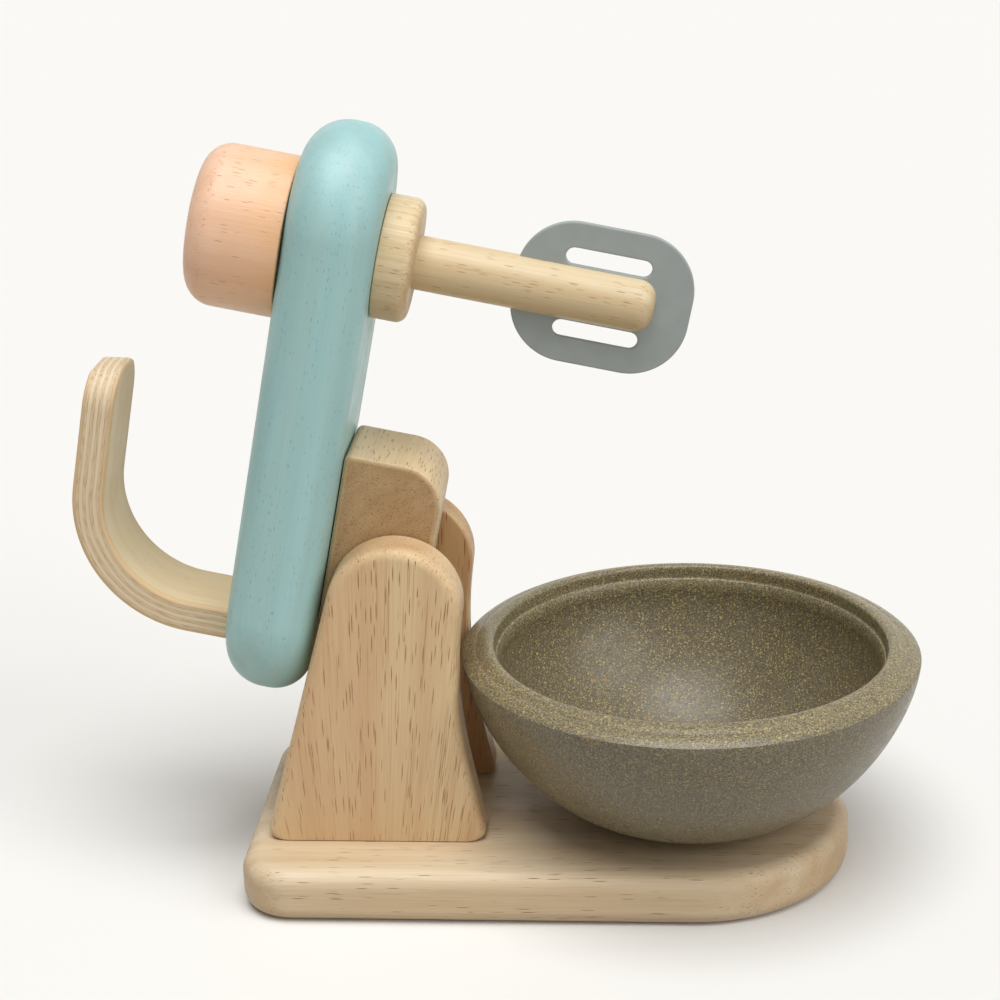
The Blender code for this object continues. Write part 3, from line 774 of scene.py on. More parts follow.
@dataclass(frozen=True)
class WoodFinish(Finish):
    """Clear or stained solid wood.

    Attributes:
        grain: Way the grain runs.
        pale: Lightest colour.
        warm: Colour of the cloudy darker areas.
        streak: Colour of bands and fibres.
        pore: Colour inside the pores.
        band_share: Strength of the growth bands.
        fibre_share: Strength of the fibres.
        pore_share: Strength of the pores' colour.
        pores: Share of the pores that show.
        pore_length: Length of a pore's cell in millimetres.
        pore_gap: Width of a pore's cell in millimetres.
        pith: Where the growth bands centre, in millimetres from the piece.
        wander: Millimetres that the grain strays, along each axis of the grain.
        fan: Share by which the grain spreads for each millimetre behind the pattern's origin.
        band_gap: Millimetres between bands.
        place: Shift of the pattern in metres, so that no two pieces match.
        lines: Strength of the long faint lines.
        end_shade: How much darker the end grain is.
        edge_tone: Paler colour of sharply rounded edges, partly real wear and partly a painted highlight
            where the rims catch the light.
        edge_share: How far those edges take that colour.
        specular: Specular level.
        roughness: Roughness of the surface.
    """

    grain: Grain = Grain.ALONG_BOARD
    pale: Colour = linear(226, 204, 164)
    warm: Colour = linear(212, 182, 136)
    streak: Colour = linear(182, 138, 92)
    pore: Colour = linear(128, 82, 48)
    band_share: float = 0.22
    fibre_share: float = 0.2
    pore_share: float = 0.7
    pores: float = 0.5
    pore_length: float = 7.0
    pore_gap: float = 0.55
    pith: tuple[float, float, float] = (0.0, 60.0, 25.0)
    wander: tuple[float, float, float] = (0.0, 2.5, 2.5)
    fan: float = 0.0
    band_gap: float = 6.0
    place: tuple[float, float, float] = (0.0, 0.0, 0.0)
    lines: float = 0.35
    end_shade: float = 0.25
    # Paler edge colour: partly real wear, partly a painted highlight on rounded rims.
    edge_tone: Colour = linear(236, 212, 168)
    edge_share: float = 0.3
    specular: float = 0.5
    roughness: float = 0.46

    def turn(self) -> tuple[float, float, float]:
        """Euler angles that carry x onto the grain."""
        return {
            Grain.ALONG_BOARD: (0.0, 0.0, 0.0),
            Grain.UPRIGHT: (0.0, -math.pi / 2, 0.0),
            Grain.ACROSS: (0.0, 0.0, math.pi / 2),
            Grain.ALONG_ARM: (0.0, lean() - math.pi / 2, 0.0),
            Grain.ALONG_SHAFT: (0.0, lean(), 0.0),
        }[self.grain]

    def material(self, groups: Groups) -> bpy.types.Material:
        """Makes the material.

        Args:
            groups: The shared node groups.

        Returns:
            The material.
        """
        tree, shader, material = self.start(self.specular)
        source = tree.node("TexCoord")
        turned = tree.node("Mapping", vector_type="TEXTURE")
        tree.feed(turned.inputs["Vector"], source.outputs["Object"])
        turned.inputs["Location"].default_value = self.place
        turned.inputs["Rotation"].default_value = self.turn()
        grain = tree.group(groups.grain, {
            "Place": turned.outputs[0], "Pith": self.pith, "Band Gap": self.band_gap, "Wander": self.wander,
            "Fan": self.fan, "Pore Length": self.pore_length, "Pore Gap": self.pore_gap,
            "Pore Share": self.pores, "Line Share": self.lines})
        bands, fibres, clouds, pores = (grain.outputs[i] for i in range(4))
        colour = tree.blend(clouds, self.pale, self.warm)
        colour = tree.blend(tree.math("MULTIPLY", bands, self.band_share), colour, self.streak)
        colour = tree.blend(tree.math("MULTIPLY", fibres, self.fibre_share), colour, self.streak)
        colour = tree.blend(tree.math("MULTIPLY", pores, self.pore_share), colour, self.pore)
        facing = tree.node("Mapping", vector_type="TEXTURE")
        tree.feed(facing.inputs["Vector"], source.outputs["Normal"])
        facing.inputs["Rotation"].default_value = self.turn()
        end_on = tree.math("ABSOLUTE", tree.split(facing.outputs[0])[0])
        end = tree.span(end_on, 0.55, 0.95, 0.0, self.end_shade)
        colour = tree.blend(end, colour, self.streak, "MULTIPLY")
        mottle = tree.group(groups.mottle, {"Place": turned.outputs[0], "Size": 1.4})
        # Paler edge tone on sharply rounded edges, patchy by the mottle: partly real wear, partly a painted
        # highlight where the rims catch the light.
        sharp_edge = tree.node("Attribute", attribute_name="edge_sharpness").outputs["Fac"]
        wear_and_highlight = tree.math("MULTIPLY", sharp_edge, tree.span(mottle.outputs["Mask"], 0.0, 1.0, 0.6, 1.0))
        colour = tree.blend(tree.math("MULTIPLY", wear_and_highlight, self.edge_share), colour, self.edge_tone)
        tree.feed(shader.inputs["Base Color"], colour)
        rough = tree.span(mottle.outputs["Mask"], 0.0, 1.0, self.roughness - 0.05, self.roughness + 0.06)
        tree.feed(shader.inputs["Roughness"], tree.math("ADD", rough, tree.math("MULTIPLY", pores, 0.2)))
        height = tree.math("SUBTRACT", tree.math("MULTIPLY", fibres, 0.25), pores)
        height = tree.math("ADD", height, tree.math("MULTIPLY", mottle.outputs["Height"], 0.2))
        self.bump(tree, shader, height, 0.00012, 0.55)
        return material


@dataclass(frozen=True)
class PlyFinish(Finish):
    """Bent plywood: plies show on the sawn edges and one veneer covers the broad faces.

    Attributes:
        thickness: Thickness of the board in metres.
        plies: Count of plies.
        long_ply: Colour of a ply cut along its grain.
        cross_ply: Colour of a ply cut across its grain.
        glue: Colour of the glue lines.
        veneer: Colour of the broad faces.
        figure: Colour of the veneer's figure.
        edge_tone: Darker colour that the board's sharply turning edges take.
    """

    thickness: float = 0.0088
    plies: int = 9
    long_ply: Colour = linear(230, 212, 180)
    cross_ply: Colour = linear(218, 196, 162)
    glue: Colour = linear(164, 130, 94)
    veneer: Colour = linear(226, 202, 160)
    figure: Colour = linear(210, 180, 134)
    edge_tone: Colour = linear(206, 164, 112)

    def material(self, groups: Groups) -> bpy.types.Material:
        """Makes the material, read in the coordinates of the board laid flat.

        Args:
            groups: The shared node groups.

        Returns:
            The material.
        """
        tree, shader, material = self.start(0.5)
        laid = tree.node("Attribute", attribute_name="laid_flat").outputs["Vector"]
        through = tree.split(laid)[2]
        ripple = tree.noise(tree.vector("MULTIPLY", laid, (90.0, 260.0, 300.0)), 1.0, 2.0)
        shift = tree.math("MULTIPLY", tree.math("SUBTRACT", ripple.outputs[0], 0.5), 0.9)
        share = tree.math("ADD", tree.math("DIVIDE", through, self.thickness), 0.5)
        layer = tree.math("ADD", tree.math("MULTIPLY", share, float(self.plies)), shift)
        within = tree.math("FRACT", layer)
        half_layer = tree.math("FRACT", tree.math("MULTIPLY", layer, 0.5))
        cross = tree.span(half_layer, 0.47, 0.53)
        edge_line = tree.math("ABSOLUTE", tree.math("SUBTRACT", within, 0.5))
        glued = tree.span(edge_line, 0.40, 0.49)
        grain = tree.group(groups.grain, {
            "Place": laid, "Pith": (0.0, 40.0, 160.0), "Band Gap": 3.4, "Pore Share": 0.16,
            "Pore Length": 5.0, "Pore Gap": 0.7})
        bands, fibres, clouds, pores = (grain.outputs[i] for i in range(4))
        speck = tree.noise(tree.vector("MULTIPLY", laid, (260.0, 900.0, 3600.0)), 1.0, 3.0)
        streaky = tree.math("MULTIPLY", tree.span(speck.outputs[0], 0.45, 0.68), 0.6)
        cross_tone = tree.blend(streaky, self.cross_ply, self.glue)
        long_tone = tree.blend(tree.math("MULTIPLY", fibres, 0.35), self.long_ply, self.figure)
        sawn = tree.blend(cross, long_tone, cross_tone)
        broken = tree.noise(tree.vector("MULTIPLY", laid, (120.0, 300.0, 900.0)), 1.0, 2.0)
        line = tree.math("MULTIPLY", glued, tree.span(broken.outputs[0], 0.35, 0.65, 0.1, 0.6))
        sawn = tree.blend(line, sawn, self.glue)
        broad = tree.blend(tree.math("MULTIPLY", bands, 0.3), self.veneer, self.figure)
        broad = tree.blend(tree.math("MULTIPLY", fibres, 0.25), broad, self.figure)
        broad = tree.blend(tree.math("MULTIPLY", clouds, 0.3), broad, self.long_ply)
        broad = tree.blend(tree.math("MULTIPLY", pores, 0.35), broad, self.glue)
        off_middle = tree.math("ABSOLUTE", tree.math("SUBTRACT", share, 0.5))
        face = tree.math("GREATER_THAN", off_middle, 0.5 - 0.55 / self.plies)
        sharp_edge = tree.node("Attribute", attribute_name="edge_sharpness").outputs["Fac"]
        colour = tree.blend(tree.math("MULTIPLY", sharp_edge, 0.45), tree.blend(face, sawn, broad), self.edge_tone)
        tree.feed(shader.inputs["Base Color"], colour)
        mottle = tree.group(groups.mottle, {"Place": laid})
        tree.feed(shader.inputs["Roughness"], tree.span(mottle.outputs["Mask"], 0.0, 1.0, 0.48, 0.6))
        sawn_height = tree.math("MULTIPLY", tree.math("SUBTRACT", cross, glued),
                                tree.math("SUBTRACT", 1.0, face))
        height = tree.math("ADD", tree.math("MULTIPLY", sawn_height, 0.6), tree.math("MULTIPLY", fibres, 0.3))
        self.bump(tree, shader, height, 0.0001, 0.5)
        return material


@dataclass(frozen=True)
class CompositeFinish(Finish):
    """Pressed wood composite: a taupe ground with straw flecks and dark crumbs.

    Attributes:
        ground: Main colour.
        ground_dark: Darker areas of the ground.
        straw: Colour of the flecks.
        rust: Colour of the rare larger flecks.
        crumb: Colour of the dark crumbs.
        band: Paler colour of the rim's band, a painted highlight of the light its slope catches, with a
            yellower tone of its own.
        wall: Greyer colour of the outer wall, under the rim's band.
        roughness: Roughness of the surface.
    """

    ground: Colour = linear(126, 116, 92)
    ground_dark: Colour = linear(86, 78, 59)
    straw: Colour = linear(200, 178, 116)
    rust: Colour = linear(178, 132, 78)
    crumb: Colour = linear(56, 50, 40)
    band: Colour = linear(168, 156, 120)
    wall: Colour = linear(134, 129, 113)
    roughness: float = 0.32

    def flecks(self, tree: Tree, place: Socket, stretch: tuple[float, float, float], share: float,
               reach: float) -> Socket:
        """Mask of short flecks that lie one way: cells near their middles, a share of them kept.

        Args:
            tree: The material's tree.
            place: Coordinates in metres.
            stretch: Cells to a metre along each axis.
            share: Share of the cells that hold a fleck.
            reach: Half width of a fleck in cells.

        Returns:
            The mask.
        """
        cell = tree.cells(tree.vector("MULTIPLY", place, stretch), 1.0)
        draw, _, paleness = tree.split(cell.outputs[1], "SeparateColor")
        kept = tree.math("LESS_THAN", draw, share)
        strength = tree.math("ADD", tree.math("MULTIPLY", paleness, 0.7), 0.3)
        near = tree.span(cell.outputs[0], reach * 0.6, reach, 1.0, 0.0)
        return tree.math("MULTIPLY", tree.math("MULTIPLY", near, kept), strength)

    def material(self, groups: Groups) -> bpy.types.Material:
        """Makes the material.

        Args:
            groups: The shared node groups.

        Returns:
            The material.
        """
        tree, shader, material = self.start(0.42)
        source = tree.node("TexCoord").outputs["Object"]
        wobble = tree.noise(source, 180.0, 2.0)
        sway = tree.vector("MULTIPLY", tree.vector("SUBTRACT", wobble.outputs[1], (0.5, 0.5, 0.5)),
                           (0.003, 0.003, 0.003))
        place = tree.vector("ADD", source, sway)
        mottle = tree.group(groups.mottle, {"Place": source, "Size": 0.45})
        zones = tree.node("Attribute", attribute_name="laid_flat").outputs["Vector"]
        _, outer, rim = tree.split(zones)
        ground = tree.blend(tree.math("MULTIPLY", outer, 0.6), self.ground, self.wall)
        # The rim's paler band colour is partly a painted highlight of the light that the band's slope
        # catches.
        ground = tree.blend(tree.math("MULTIPLY", rim, 0.5), ground, self.band)
        colour = tree.blend(tree.span(mottle.outputs["Height"], 0.34, 0.66), self.ground_dark, ground)
        dark = self.flecks(tree, place, (2200.0, 2200.0, 2200.0), 0.4, 0.45)
        colour = tree.blend(tree.math("MULTIPLY", dark, 0.7), colour, self.crumb)
        first = self.flecks(tree, place, (900.0, 2000.0, 2000.0), 0.42, 0.42)
        second = self.flecks(tree, place, (2000.0, 950.0, 2000.0), 0.4, 0.4)
        third = self.flecks(tree, place, (900.0, 1200.0, 650.0), 0.18, 0.32)
        light = tree.math("MAXIMUM", tree.math("MAXIMUM", first, second), third)
        strength = tree.math("SUBTRACT", 0.9, tree.math("MULTIPLY", outer, 0.3))
        colour = tree.blend(tree.math("MULTIPLY", light, strength), colour, self.straw)
        large = self.flecks(tree, place, (330.0, 420.0, 420.0), 0.05, 0.3)
        colour = tree.blend(tree.math("MULTIPLY", large, 0.65), colour, self.rust)
        tree.feed(shader.inputs["Base Color"], colour)
        rough = tree.span(mottle.outputs["Mask"], 0.0, 1.0, self.roughness - 0.05, self.roughness + 0.05)
        tree.feed(shader.inputs["Roughness"], tree.math("ADD", rough, tree.math("MULTIPLY", light, 0.08)))
        height = tree.math("SUBTRACT", tree.math("ADD", mottle.outputs["Height"], light), dark)
        self.bump(tree, shader, height, 0.00006, 0.5)
        return material


@dataclass(frozen=True)
class SheetFinish(Finish):
    """Plain grey moulded sheet with a faint mottle.

    Attributes:
        tone: Main colour.
        shade: Colour of the mottle.
        roughness: Roughness of the surface.
    """

    tone: Colour = linear(160, 168, 167)
    shade: Colour = linear(155, 163, 162)
    roughness: float = 0.55

    def material(self, groups: Groups) -> bpy.types.Material:
        """Makes the material.

        Args:
            groups: The shared node groups.

        Returns:
            The material.
        """
        tree, shader, material = self.start(0.4)
        source = tree.node("TexCoord").outputs["Object"]
        mottle = tree.group(groups.mottle, {"Place": source, "Size": 0.8})
        tree.feed(shader.inputs["Base Color"], tree.blend(mottle.outputs["Mask"], self.tone, self.shade))
        tree.feed(shader.inputs["Roughness"],
                  tree.span(mottle.outputs["Mask"], 0.0, 1.0, self.roughness - 0.04, self.roughness + 0.05))
        self.bump(tree, shader, mottle.outputs["Height"], 0.00004, 0.4)
        return material


# Sub-assemblies


@dataclass
class Assembly:
    """Base of every sub-assembly: keeps the groups and dresses its pieces.

    Attributes:
        groups: The shared node groups.
    """

    groups: Groups

    def dress(self, skin: Skin, name: str, body: str, finish: Finish, fit: bool = False) -> bpy.types.Object:
        """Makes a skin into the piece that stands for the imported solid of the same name.

        Args:
            skin: The piece's surface in the toy's frame.
            name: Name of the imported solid.
            body: Body that the piece rides on.
            finish: Its finish.
            fit: Whether the skin is first shrunk into the solid's box, by less than its facets.

        Returns:
            The finished piece.
        """
        low, high = (np.array(corner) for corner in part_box(name))
        item = (skin.fitted(low, high) if fit else skin).to_object(name + "_surface")
        item.data.materials.append(finish.material(self.groups))
        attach(item, body)
        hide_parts(name)
        log.info("%s: %d faces on %s", item.name, len(item.data.polygons), body)
        return item

    def coat(self, names: tuple[str, ...], finish: Finish) -> None:
        """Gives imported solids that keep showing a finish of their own.

        Args:
            names: Names of the solids.
            finish: Their finish.
        """
        material = finish.material(self.groups)
        for name in names:
            item = frame["nodes"][name]
            if not item.material_slots:
                item.data.materials.append(material)
            for holder in item.material_slots:
                holder.material = material
            log.info("%s: packed solid, finish %s", name, finish.name)


@dataclass
class StandBase(Assembly):
    """Board, two uprights and the pegs and pin in them.

    Attributes:
        width: Width of the board.
        thickness: Thickness of the board.
        rear_corner: Corner radius at the board's rear.
        edge_roll: Radius of the board's edge.
        cheek_inner: Middle plane to an upright's inner face.
        cheek_outer: Middle plane to an upright's outer face.
        arch_x: Place of the arches along the board.
        arch_z: Height of the arches' centres.
        arch_radius: Radius of the arches.
        arch_height: Height of the arches' centres above the feet.
        arch_tuck: How far the arch runs on past level at the front.
        front_foot: Arch centre to the front of the foot.
        flare: Lean of the front edge at the foot.
        tuck_pull: Share of the height that the curve leaves the arch with.
        flare_pull: Share of the height that the curve reaches the foot with.
        outer_round: Radius of an upright's outer rim.
        inner_round: Radius of an upright's inner rim.
        foot_corner: Radius of the foot's corners.
        pin_to_arm: Pivot pin to the arm's underside.
        tail_reach: Pivot pin down the arm to where the raised arm rests.
        seat: Gap between the raised arm and the rear edges.
    """

    width: float = 0.0942
    thickness: float = 0.0156
    rear_corner: float = 0.0150
    edge_roll: float = 0.0050
    cheek_inner: float = 0.0153
    cheek_outer: float = 0.0273
    arch_x: float = -0.042050
    arch_z: float = 0.0864
    arch_radius: float = 0.0190
    arch_height: float = 0.0705
    arch_tuck: float = math.radians(8)
    front_foot: float = 0.0245
    flare: float = math.radians(12.4)
    tuck_pull: float = 0.37
    flare_pull: float = 0.435
    outer_round: float = 0.0032
    inner_round: float = 0.0008
    foot_corner: float = 0.0022
    pin_to_arm: float = 0.0158
    tail_reach: float = 0.0306
    seat: float = 0.0003

    def board(self) -> Skin:
        """Board with a half-round front end, an even roll all round its edge."""
        low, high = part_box("base_board")
        half = self.width / 2
        outline = rounded_box((low.x, -half), (high.x, half),
                              (half, self.rear_corner, self.rear_corner, half), 40)
        turns = rim_turns(0.0, self.thickness, self.edge_roll, self.edge_roll, 12)
        return slab(outline, turns, "xyz")

    def rear_edge(self) -> tuple[float, float]:
        """Angle where the rear edge leaves the arch and the edge's place at the foot.

        The edge touches the arch and passes through the point where the raised arm rests on it.
        """
        out = shaft_way()[[0, 2]]
        along = np.array((-out[1], out[0]))
        pin = head_stand().place[[0, 2]] - np.array((self.arch_x, self.arch_z))
        rest = pin - (self.pin_to_arm - self.seat) * out - self.tail_reach * along
        distance = float(np.linalg.norm(rest))
        bearing = math.atan2(rest[1], rest[0])
        turn = bearing - math.acos(self.arch_radius / distance) + 2 * math.pi
        foot = (self.arch_radius + self.arch_height * math.sin(turn)) / math.cos(turn)
        return turn, foot

    def cheek_outline(self) -> Array:
        """Side view of an upright about the arch centre, anticlockwise, with its inset directions.

        The front edge is a cubic from the foot to the arch, the back edge is straight, and both feet
        turn a small corner. Corner points move level when the outline is inset, so the sole stays flat.
        """
        tuck = np.array((math.cos(self.arch_tuck), -math.sin(self.arch_tuck)))
        arch_end = self.arch_radius * tuck
        arch_pull = arch_end + self.arch_height * self.tuck_pull * np.array((tuck[1], -tuck[0]))
        up_flare = np.array((-math.sin(self.flare), math.cos(self.flare)))
        foot = np.array((self.front_foot, -self.arch_height))
        reach = self.foot_corner * math.tan((math.pi / 2 + self.flare) / 2)
        front = cubic(foot, foot + self.arch_height * self.flare_pull * up_flare, arch_pull, arch_end, 40)
        above = front[:, 1] > foot[1] + reach * math.cos(self.flare)
        front = front[above]
        turn, rear_x = self.rear_edge()
        arch = arc((0.0, 0.0), self.arch_radius, -self.arch_tuck, turn, 60)
        rear_normal = arch[-1, 2:]
        down_rear = np.array((-rear_normal[1], rear_normal[0]))
        rear_foot = np.array((rear_x, -self.arch_height))
        rear_turn = math.atan2(-down_rear[1], -down_rear[0])
        rear_reach = self.foot_corner * math.tan((math.pi - rear_turn) / 2)
        rear_start = rear_foot - rear_reach * down_rear
        rear_centre = np.array((rear_foot[0] + rear_reach, -self.arch_height + self.foot_corner))
        rear_corner = arc(rear_centre, self.foot_corner, turn, 3 * math.pi / 2, 8)
        rear_corner[:, 2:] = (1 / rear_normal[0], 0.0)
        front_normal = np.array((math.cos(self.flare), math.sin(self.flare)))
        front_centre = np.array((foot[0] - reach, -self.arch_height + self.foot_corner))
        front_corner = arc(front_centre, self.foot_corner, 3 * math.pi / 2, 2 * math.pi + self.flare, 8)
        front_corner[:, 2:] = (1 / front_normal[0], 0.0)
        steps = np.linspace(0.0, 1.0, 14)[1:-1, None]
        straight = arch[-1, :2] + steps * (rear_start - arch[-1, :2])
        straight = np.column_stack((straight, np.tile(rear_normal, (len(straight), 1))))
        rows = np.vstack((front_corner, front, arch[1:], straight, rear_corner))
        rows[:, :2] += (self.arch_x, self.arch_z)
        return rows

    def cheek(self, side: int) -> Skin:
        """One upright; side is -1 for the right one and 1 for the left one."""
        outline = self.cheek_outline()
        if side < 0:
            turns = rim_turns(-self.cheek_outer, -self.cheek_inner, self.outer_round, self.inner_round, 9)
        else:
            turns = rim_turns(self.cheek_inner, self.cheek_outer, self.inner_round, self.outer_round, 9)
        return slab(outline, turns, "xzy")

    def build(self) -> None:
        """Makes and dresses every piece of the base."""
        self.dress(self.board(), "base_board", "base", WoodFinish(
            "board_wood", "rubberwood", grain=Grain.ALONG_BOARD, place=(0.02, 0.013, 0.0),
            pale=linear(219, 202, 173), warm=linear(208, 184, 147), streak=linear(187, 153, 112),
            pore=linear(138, 84, 48), pore_share=0.85, pith=(0.0, 24.0, -46.0), band_gap=7.0, pores=0.32,
            pore_length=9.0, band_share=0.22, wander=(0.0, 5.0, 1.2)))
        self.dress(self.cheek(-1), "right_upright", "base", WoodFinish(
            "right_upright_wood", "rubberwood", grain=Grain.UPRIGHT, place=(-0.056, 0.05, 0.108),
            pale=linear(224, 198, 154), warm=linear(216, 184, 142), streak=linear(196, 150, 108),
            pore=linear(146, 80, 46), pith=(0.0, 30.0, 40.0), band_gap=8.0, pores=0.8, pore_length=12.0,
            pore_gap=0.72, band_share=0.2, fibre_share=0.26, pore_share=0.9, lines=0.6,
            wander=(0.0, 0.8, 5.0), fan=-0.004))
        # The left upright takes a darker, more saturated copy of the right upright's wood, which paints in
        # the shade it stands in.
        self.dress(self.cheek(1), "left_upright", "base", WoodFinish(
            "left_upright_wood_painted_shade", "rubberwood", grain=Grain.UPRIGHT, place=(-0.046, -0.04, 0.1),
            pale=linear(211, 176, 127), warm=linear(201, 159, 111), streak=linear(180, 125, 81),
            pore=linear(128, 66, 38), pith=(0.0, -30.0, 34.0), band_gap=7.0, pores=0.8, pore_length=13.0,
            pore_gap=0.72, pore_share=0.9, lines=0.8, wander=(0.0, 0.8, 5.0), fan=-0.002))
        self.coat(("right_rear_dowel", "right_front_dowel", "left_rear_dowel", "left_front_dowel"),
                  WoodFinish("peg_wood", "dowel_wood", grain=Grain.UPRIGHT, pores=0.3))
        self.coat(("pivot_pin",), WoodFinish("pin_wood", "dowel_wood", grain=Grain.ACROSS, pores=0.3))


@dataclass
class TiltingHead(Assembly):
    """Arm, pivot block and lift handle, modelled about the pin: x out of the arm, z up along it.

    Attributes:
        arm_width: Width of the arm.
        arm_thickness: Thickness of the arm.
        arm_length: Length of the arm.
        arm_tail: Pin to the arm's lower end.
        back_roll: Radius of the arm's back edge.
        under_roll: Radius of the arm's underside edge.
        pin_to_arm: Pin to the arm's underside.
        block_width: Width of the block.
        block_nose: Pin to the block's upper end.
        block_heel: Pin to the block's lower end.
        block_front: Pin to the block's free face.
        block_corner: Radius of the block's free corners.
        block_rim: Radius of the block's rims.
        block_back: Radius of the block's corners at the arm.
        bar_thickness: Thickness of the handle.
        bar_width: Width of the handle.
        tenon: Depth that the handle goes into the arm.
        from_tail: Arm's lower end to the middle of the handle's root.
        standoff: Arm's back to the outside of the grip.
        bend_radius: Radius of the outside of the bend.
        bend: Angle of the bend.
        grip: Length of the straight grip.
        tip_corner: Radius of the grip's end seen from behind.
        tip_slant: Slope of the sawn end, rising towards the arm.
        tip_round: Radius of the grip's end seen from the side.
        bar_rim: Radius of the handle's edges.
        seat: Gap that glue fills.
    """

    arm_width: float = 0.0574
    arm_thickness: float = 0.0252
    arm_length: float = 0.1664
    arm_tail: float = 0.0414
    back_roll: float = 0.0124
    under_roll: float = 0.0108
    pin_to_arm: float = 0.0158
    block_width: float = 0.0296
    block_nose: float = 0.0366
    block_heel: float = 0.0150
    block_front: float = 0.0130
    block_corner: float = 0.0115
    block_rim: float = 0.0012
    block_back: float = 0.0020
    bar_thickness: float = 0.0088
    bar_width: float = 0.0266
    tenon: float = 0.0140
    from_tail: float = 0.0200
    standoff: float = 0.0486
    bend_radius: float = 0.0372
    bend: float = math.radians(89.6)
    grip: float = 0.0345
    tip_corner: float = 0.0105
    tip_slant: float = 0.17
    tip_round: float = 0.0020
    bar_rim: float = 0.0010
    seat: float = 0.0003

    def set_up(self, skin: Skin) -> Skin:
        """The skin moved from the head's own axes into the toy."""
        stand = head_stand()
        return skin.moved(stand.turn, stand.place)

    def arm(self) -> Skin:
        """Board with half-round ends whose edge is rolled nearly to the middle of each face."""
        half = self.arm_width / 2
        outline = rounded_box((-half, -self.arm_tail), (half, self.arm_length - self.arm_tail),
                              (half,) * 4, 44)
        back = -self.pin_to_arm - self.arm_thickness
        turns = rim_turns(back, -self.pin_to_arm, self.back_roll, self.under_roll, 16)
        return self.set_up(slab(outline, turns, "yzx"))

    def block(self) -> Skin:
        """Block under the arm with its two free corners rounded."""
        outline = rounded_box((-self.pin_to_arm + self.seat, -self.block_heel),
                              (self.block_front, self.block_nose),
                              (self.block_corner, self.block_back, self.block_back, self.block_corner), 20)
        half = self.block_width / 2
        turns = rim_turns(-half, half, self.block_rim, self.block_rim, 6)
        return self.set_up(slab(outline, turns, "xzy"))

    def rounded_away(self, radius: float, left: Array) -> Array:
        """How far a quarter circle has drawn in, where left is the way to its end."""
        return radius - np.sqrt(np.maximum(radius ** 2 - (radius - left) ** 2, 0))

    def handle_stations(self) -> Array:
        """Stations along the J: place x and z, turn so far, half thickness, half width and run.

        The root runs straight out of the arm's back, then the bend, then the grip; at the tip the half
        width closes as a circle of the corner's radius and the half thickness as one of the round's.
        """
        root = self.from_tail - self.arm_tail
        back = -self.pin_to_arm - self.arm_thickness
        middle_radius = self.bend_radius - self.bar_thickness / 2
        centre = np.array((back - self.standoff + self.bend_radius, root + middle_radius))
        thick = self.bar_thickness / 2
        wide = self.bar_width / 2
        start = back + self.tenon - self.seat
        turn = np.linspace(0.0, self.bend, 48)
        bent = centre - middle_radius * np.column_stack((np.sin(turn), np.cos(turn)))
        lead = np.linspace(start, bent[0, 0], 10)[:-1]
        onward = np.array((-math.cos(self.bend), math.sin(self.bend)))
        straight = np.linspace(0.0, self.grip - self.tip_corner, 10)[1:-1]
        angle = np.linspace(0.0, math.pi / 2, 22)
        left = self.tip_corner * (1 - np.sin(angle))
        eased_left = np.minimum(left, self.tip_round)
        corner = self.rounded_away(self.tip_corner, left)
        eased = self.rounded_away(self.tip_round, eased_left)
        along = np.concatenate((straight, self.grip - left))
        end = bent[-1] + along[:, None] * onward
        place = np.vstack((np.column_stack((lead, np.full(len(lead), root))), bent, end))
        turns = np.concatenate((np.zeros(len(lead)), turn, np.full(len(end), self.bend)))
        thicks = np.concatenate((np.full(len(place) - len(angle), thick), thick - eased))
        wides = np.concatenate((np.full(len(place) - len(angle), wide), wide - corner))
        step = np.linalg.norm(np.diff(place, axis=0), axis=1)
        run = np.concatenate(((0.0,), np.cumsum(step)))
        return np.column_stack((place, turns, thicks, wides, run))

    def handle(self) -> Skin:
        """Bent handle: a rounded section carried along the J, with its laid-flat coordinates.

        Point = place + through (sin turn, cos turn) in the plane of the bend, and across along y.
        """
        stations = self.handle_stations()
        side = np.linspace(-1.0, 1.0, 19)
        rim = arc((0.0, 0.0), self.bar_rim, 0.0, math.pi / 2, 5)[:, 2:]
        rows = []
        flats = []
        length = stations[-1, 5]
        for x, z, turn, thick, wide, run in stations:
            ease = min(self.bar_rim, 0.45 * min(thick, wide))
            section = self.section(thick, wide, ease, side, rim)
            near_tip = min(max((run - length) / self.tip_corner + 1.0, 0.0), 1.0)
            ahead = self.tip_slant * near_tip * section[:, 0]
            rows.append(np.column_stack((x + section[:, 0] * math.sin(turn) - ahead * math.cos(turn),
                                         section[:, 1],
                                         z + section[:, 0] * math.cos(turn) + ahead * math.sin(turn))))
            flats.append(np.column_stack((np.full(len(section), run), section[:, 1], section[:, 0])))
        skin = Skin()
        skin.add_grid(np.array(rows), close=(True, True))
        skin.flat = np.array(flats).reshape(-1, 3)
        return self.set_up(skin)

    def section(self, thick: float, wide: float, ease: float, side: Array, rim: Array) -> Array:
        """Section of the handle: a rectangle of half sizes thick and wide, its corners eased.

        Args:
            thick: Half thickness.
            wide: Half width.
            ease: Corner radius.
            side: Places of the points along a side, from -1 to 1.
            rim: Quarter circle of unit radius.

        Returns:
            Rows of through and across.
        """
        flat = np.array((thick, wide)) - ease
        rows = []
        for quarter in range(4):
            angle = quarter * math.pi / 2
            spin = np.array(((math.cos(angle), math.sin(angle)), (-math.sin(angle), math.cos(angle))))
            sign = np.sign(np.array((1.0, 1.0)) @ spin)
            corner = flat * sign + ease * (rim @ spin)
            rows.append(corner)
            ahead = np.sign(np.array((-1.0, 1.0)) @ spin)
            start = corner[-1]
            stop = flat * ahead + ease * np.array((0.0, 1.0)) @ spin
            rows.append(start + (0.5 + 0.5 * side[1:-1, None]) * (stop - start))
        return np.vstack(rows)

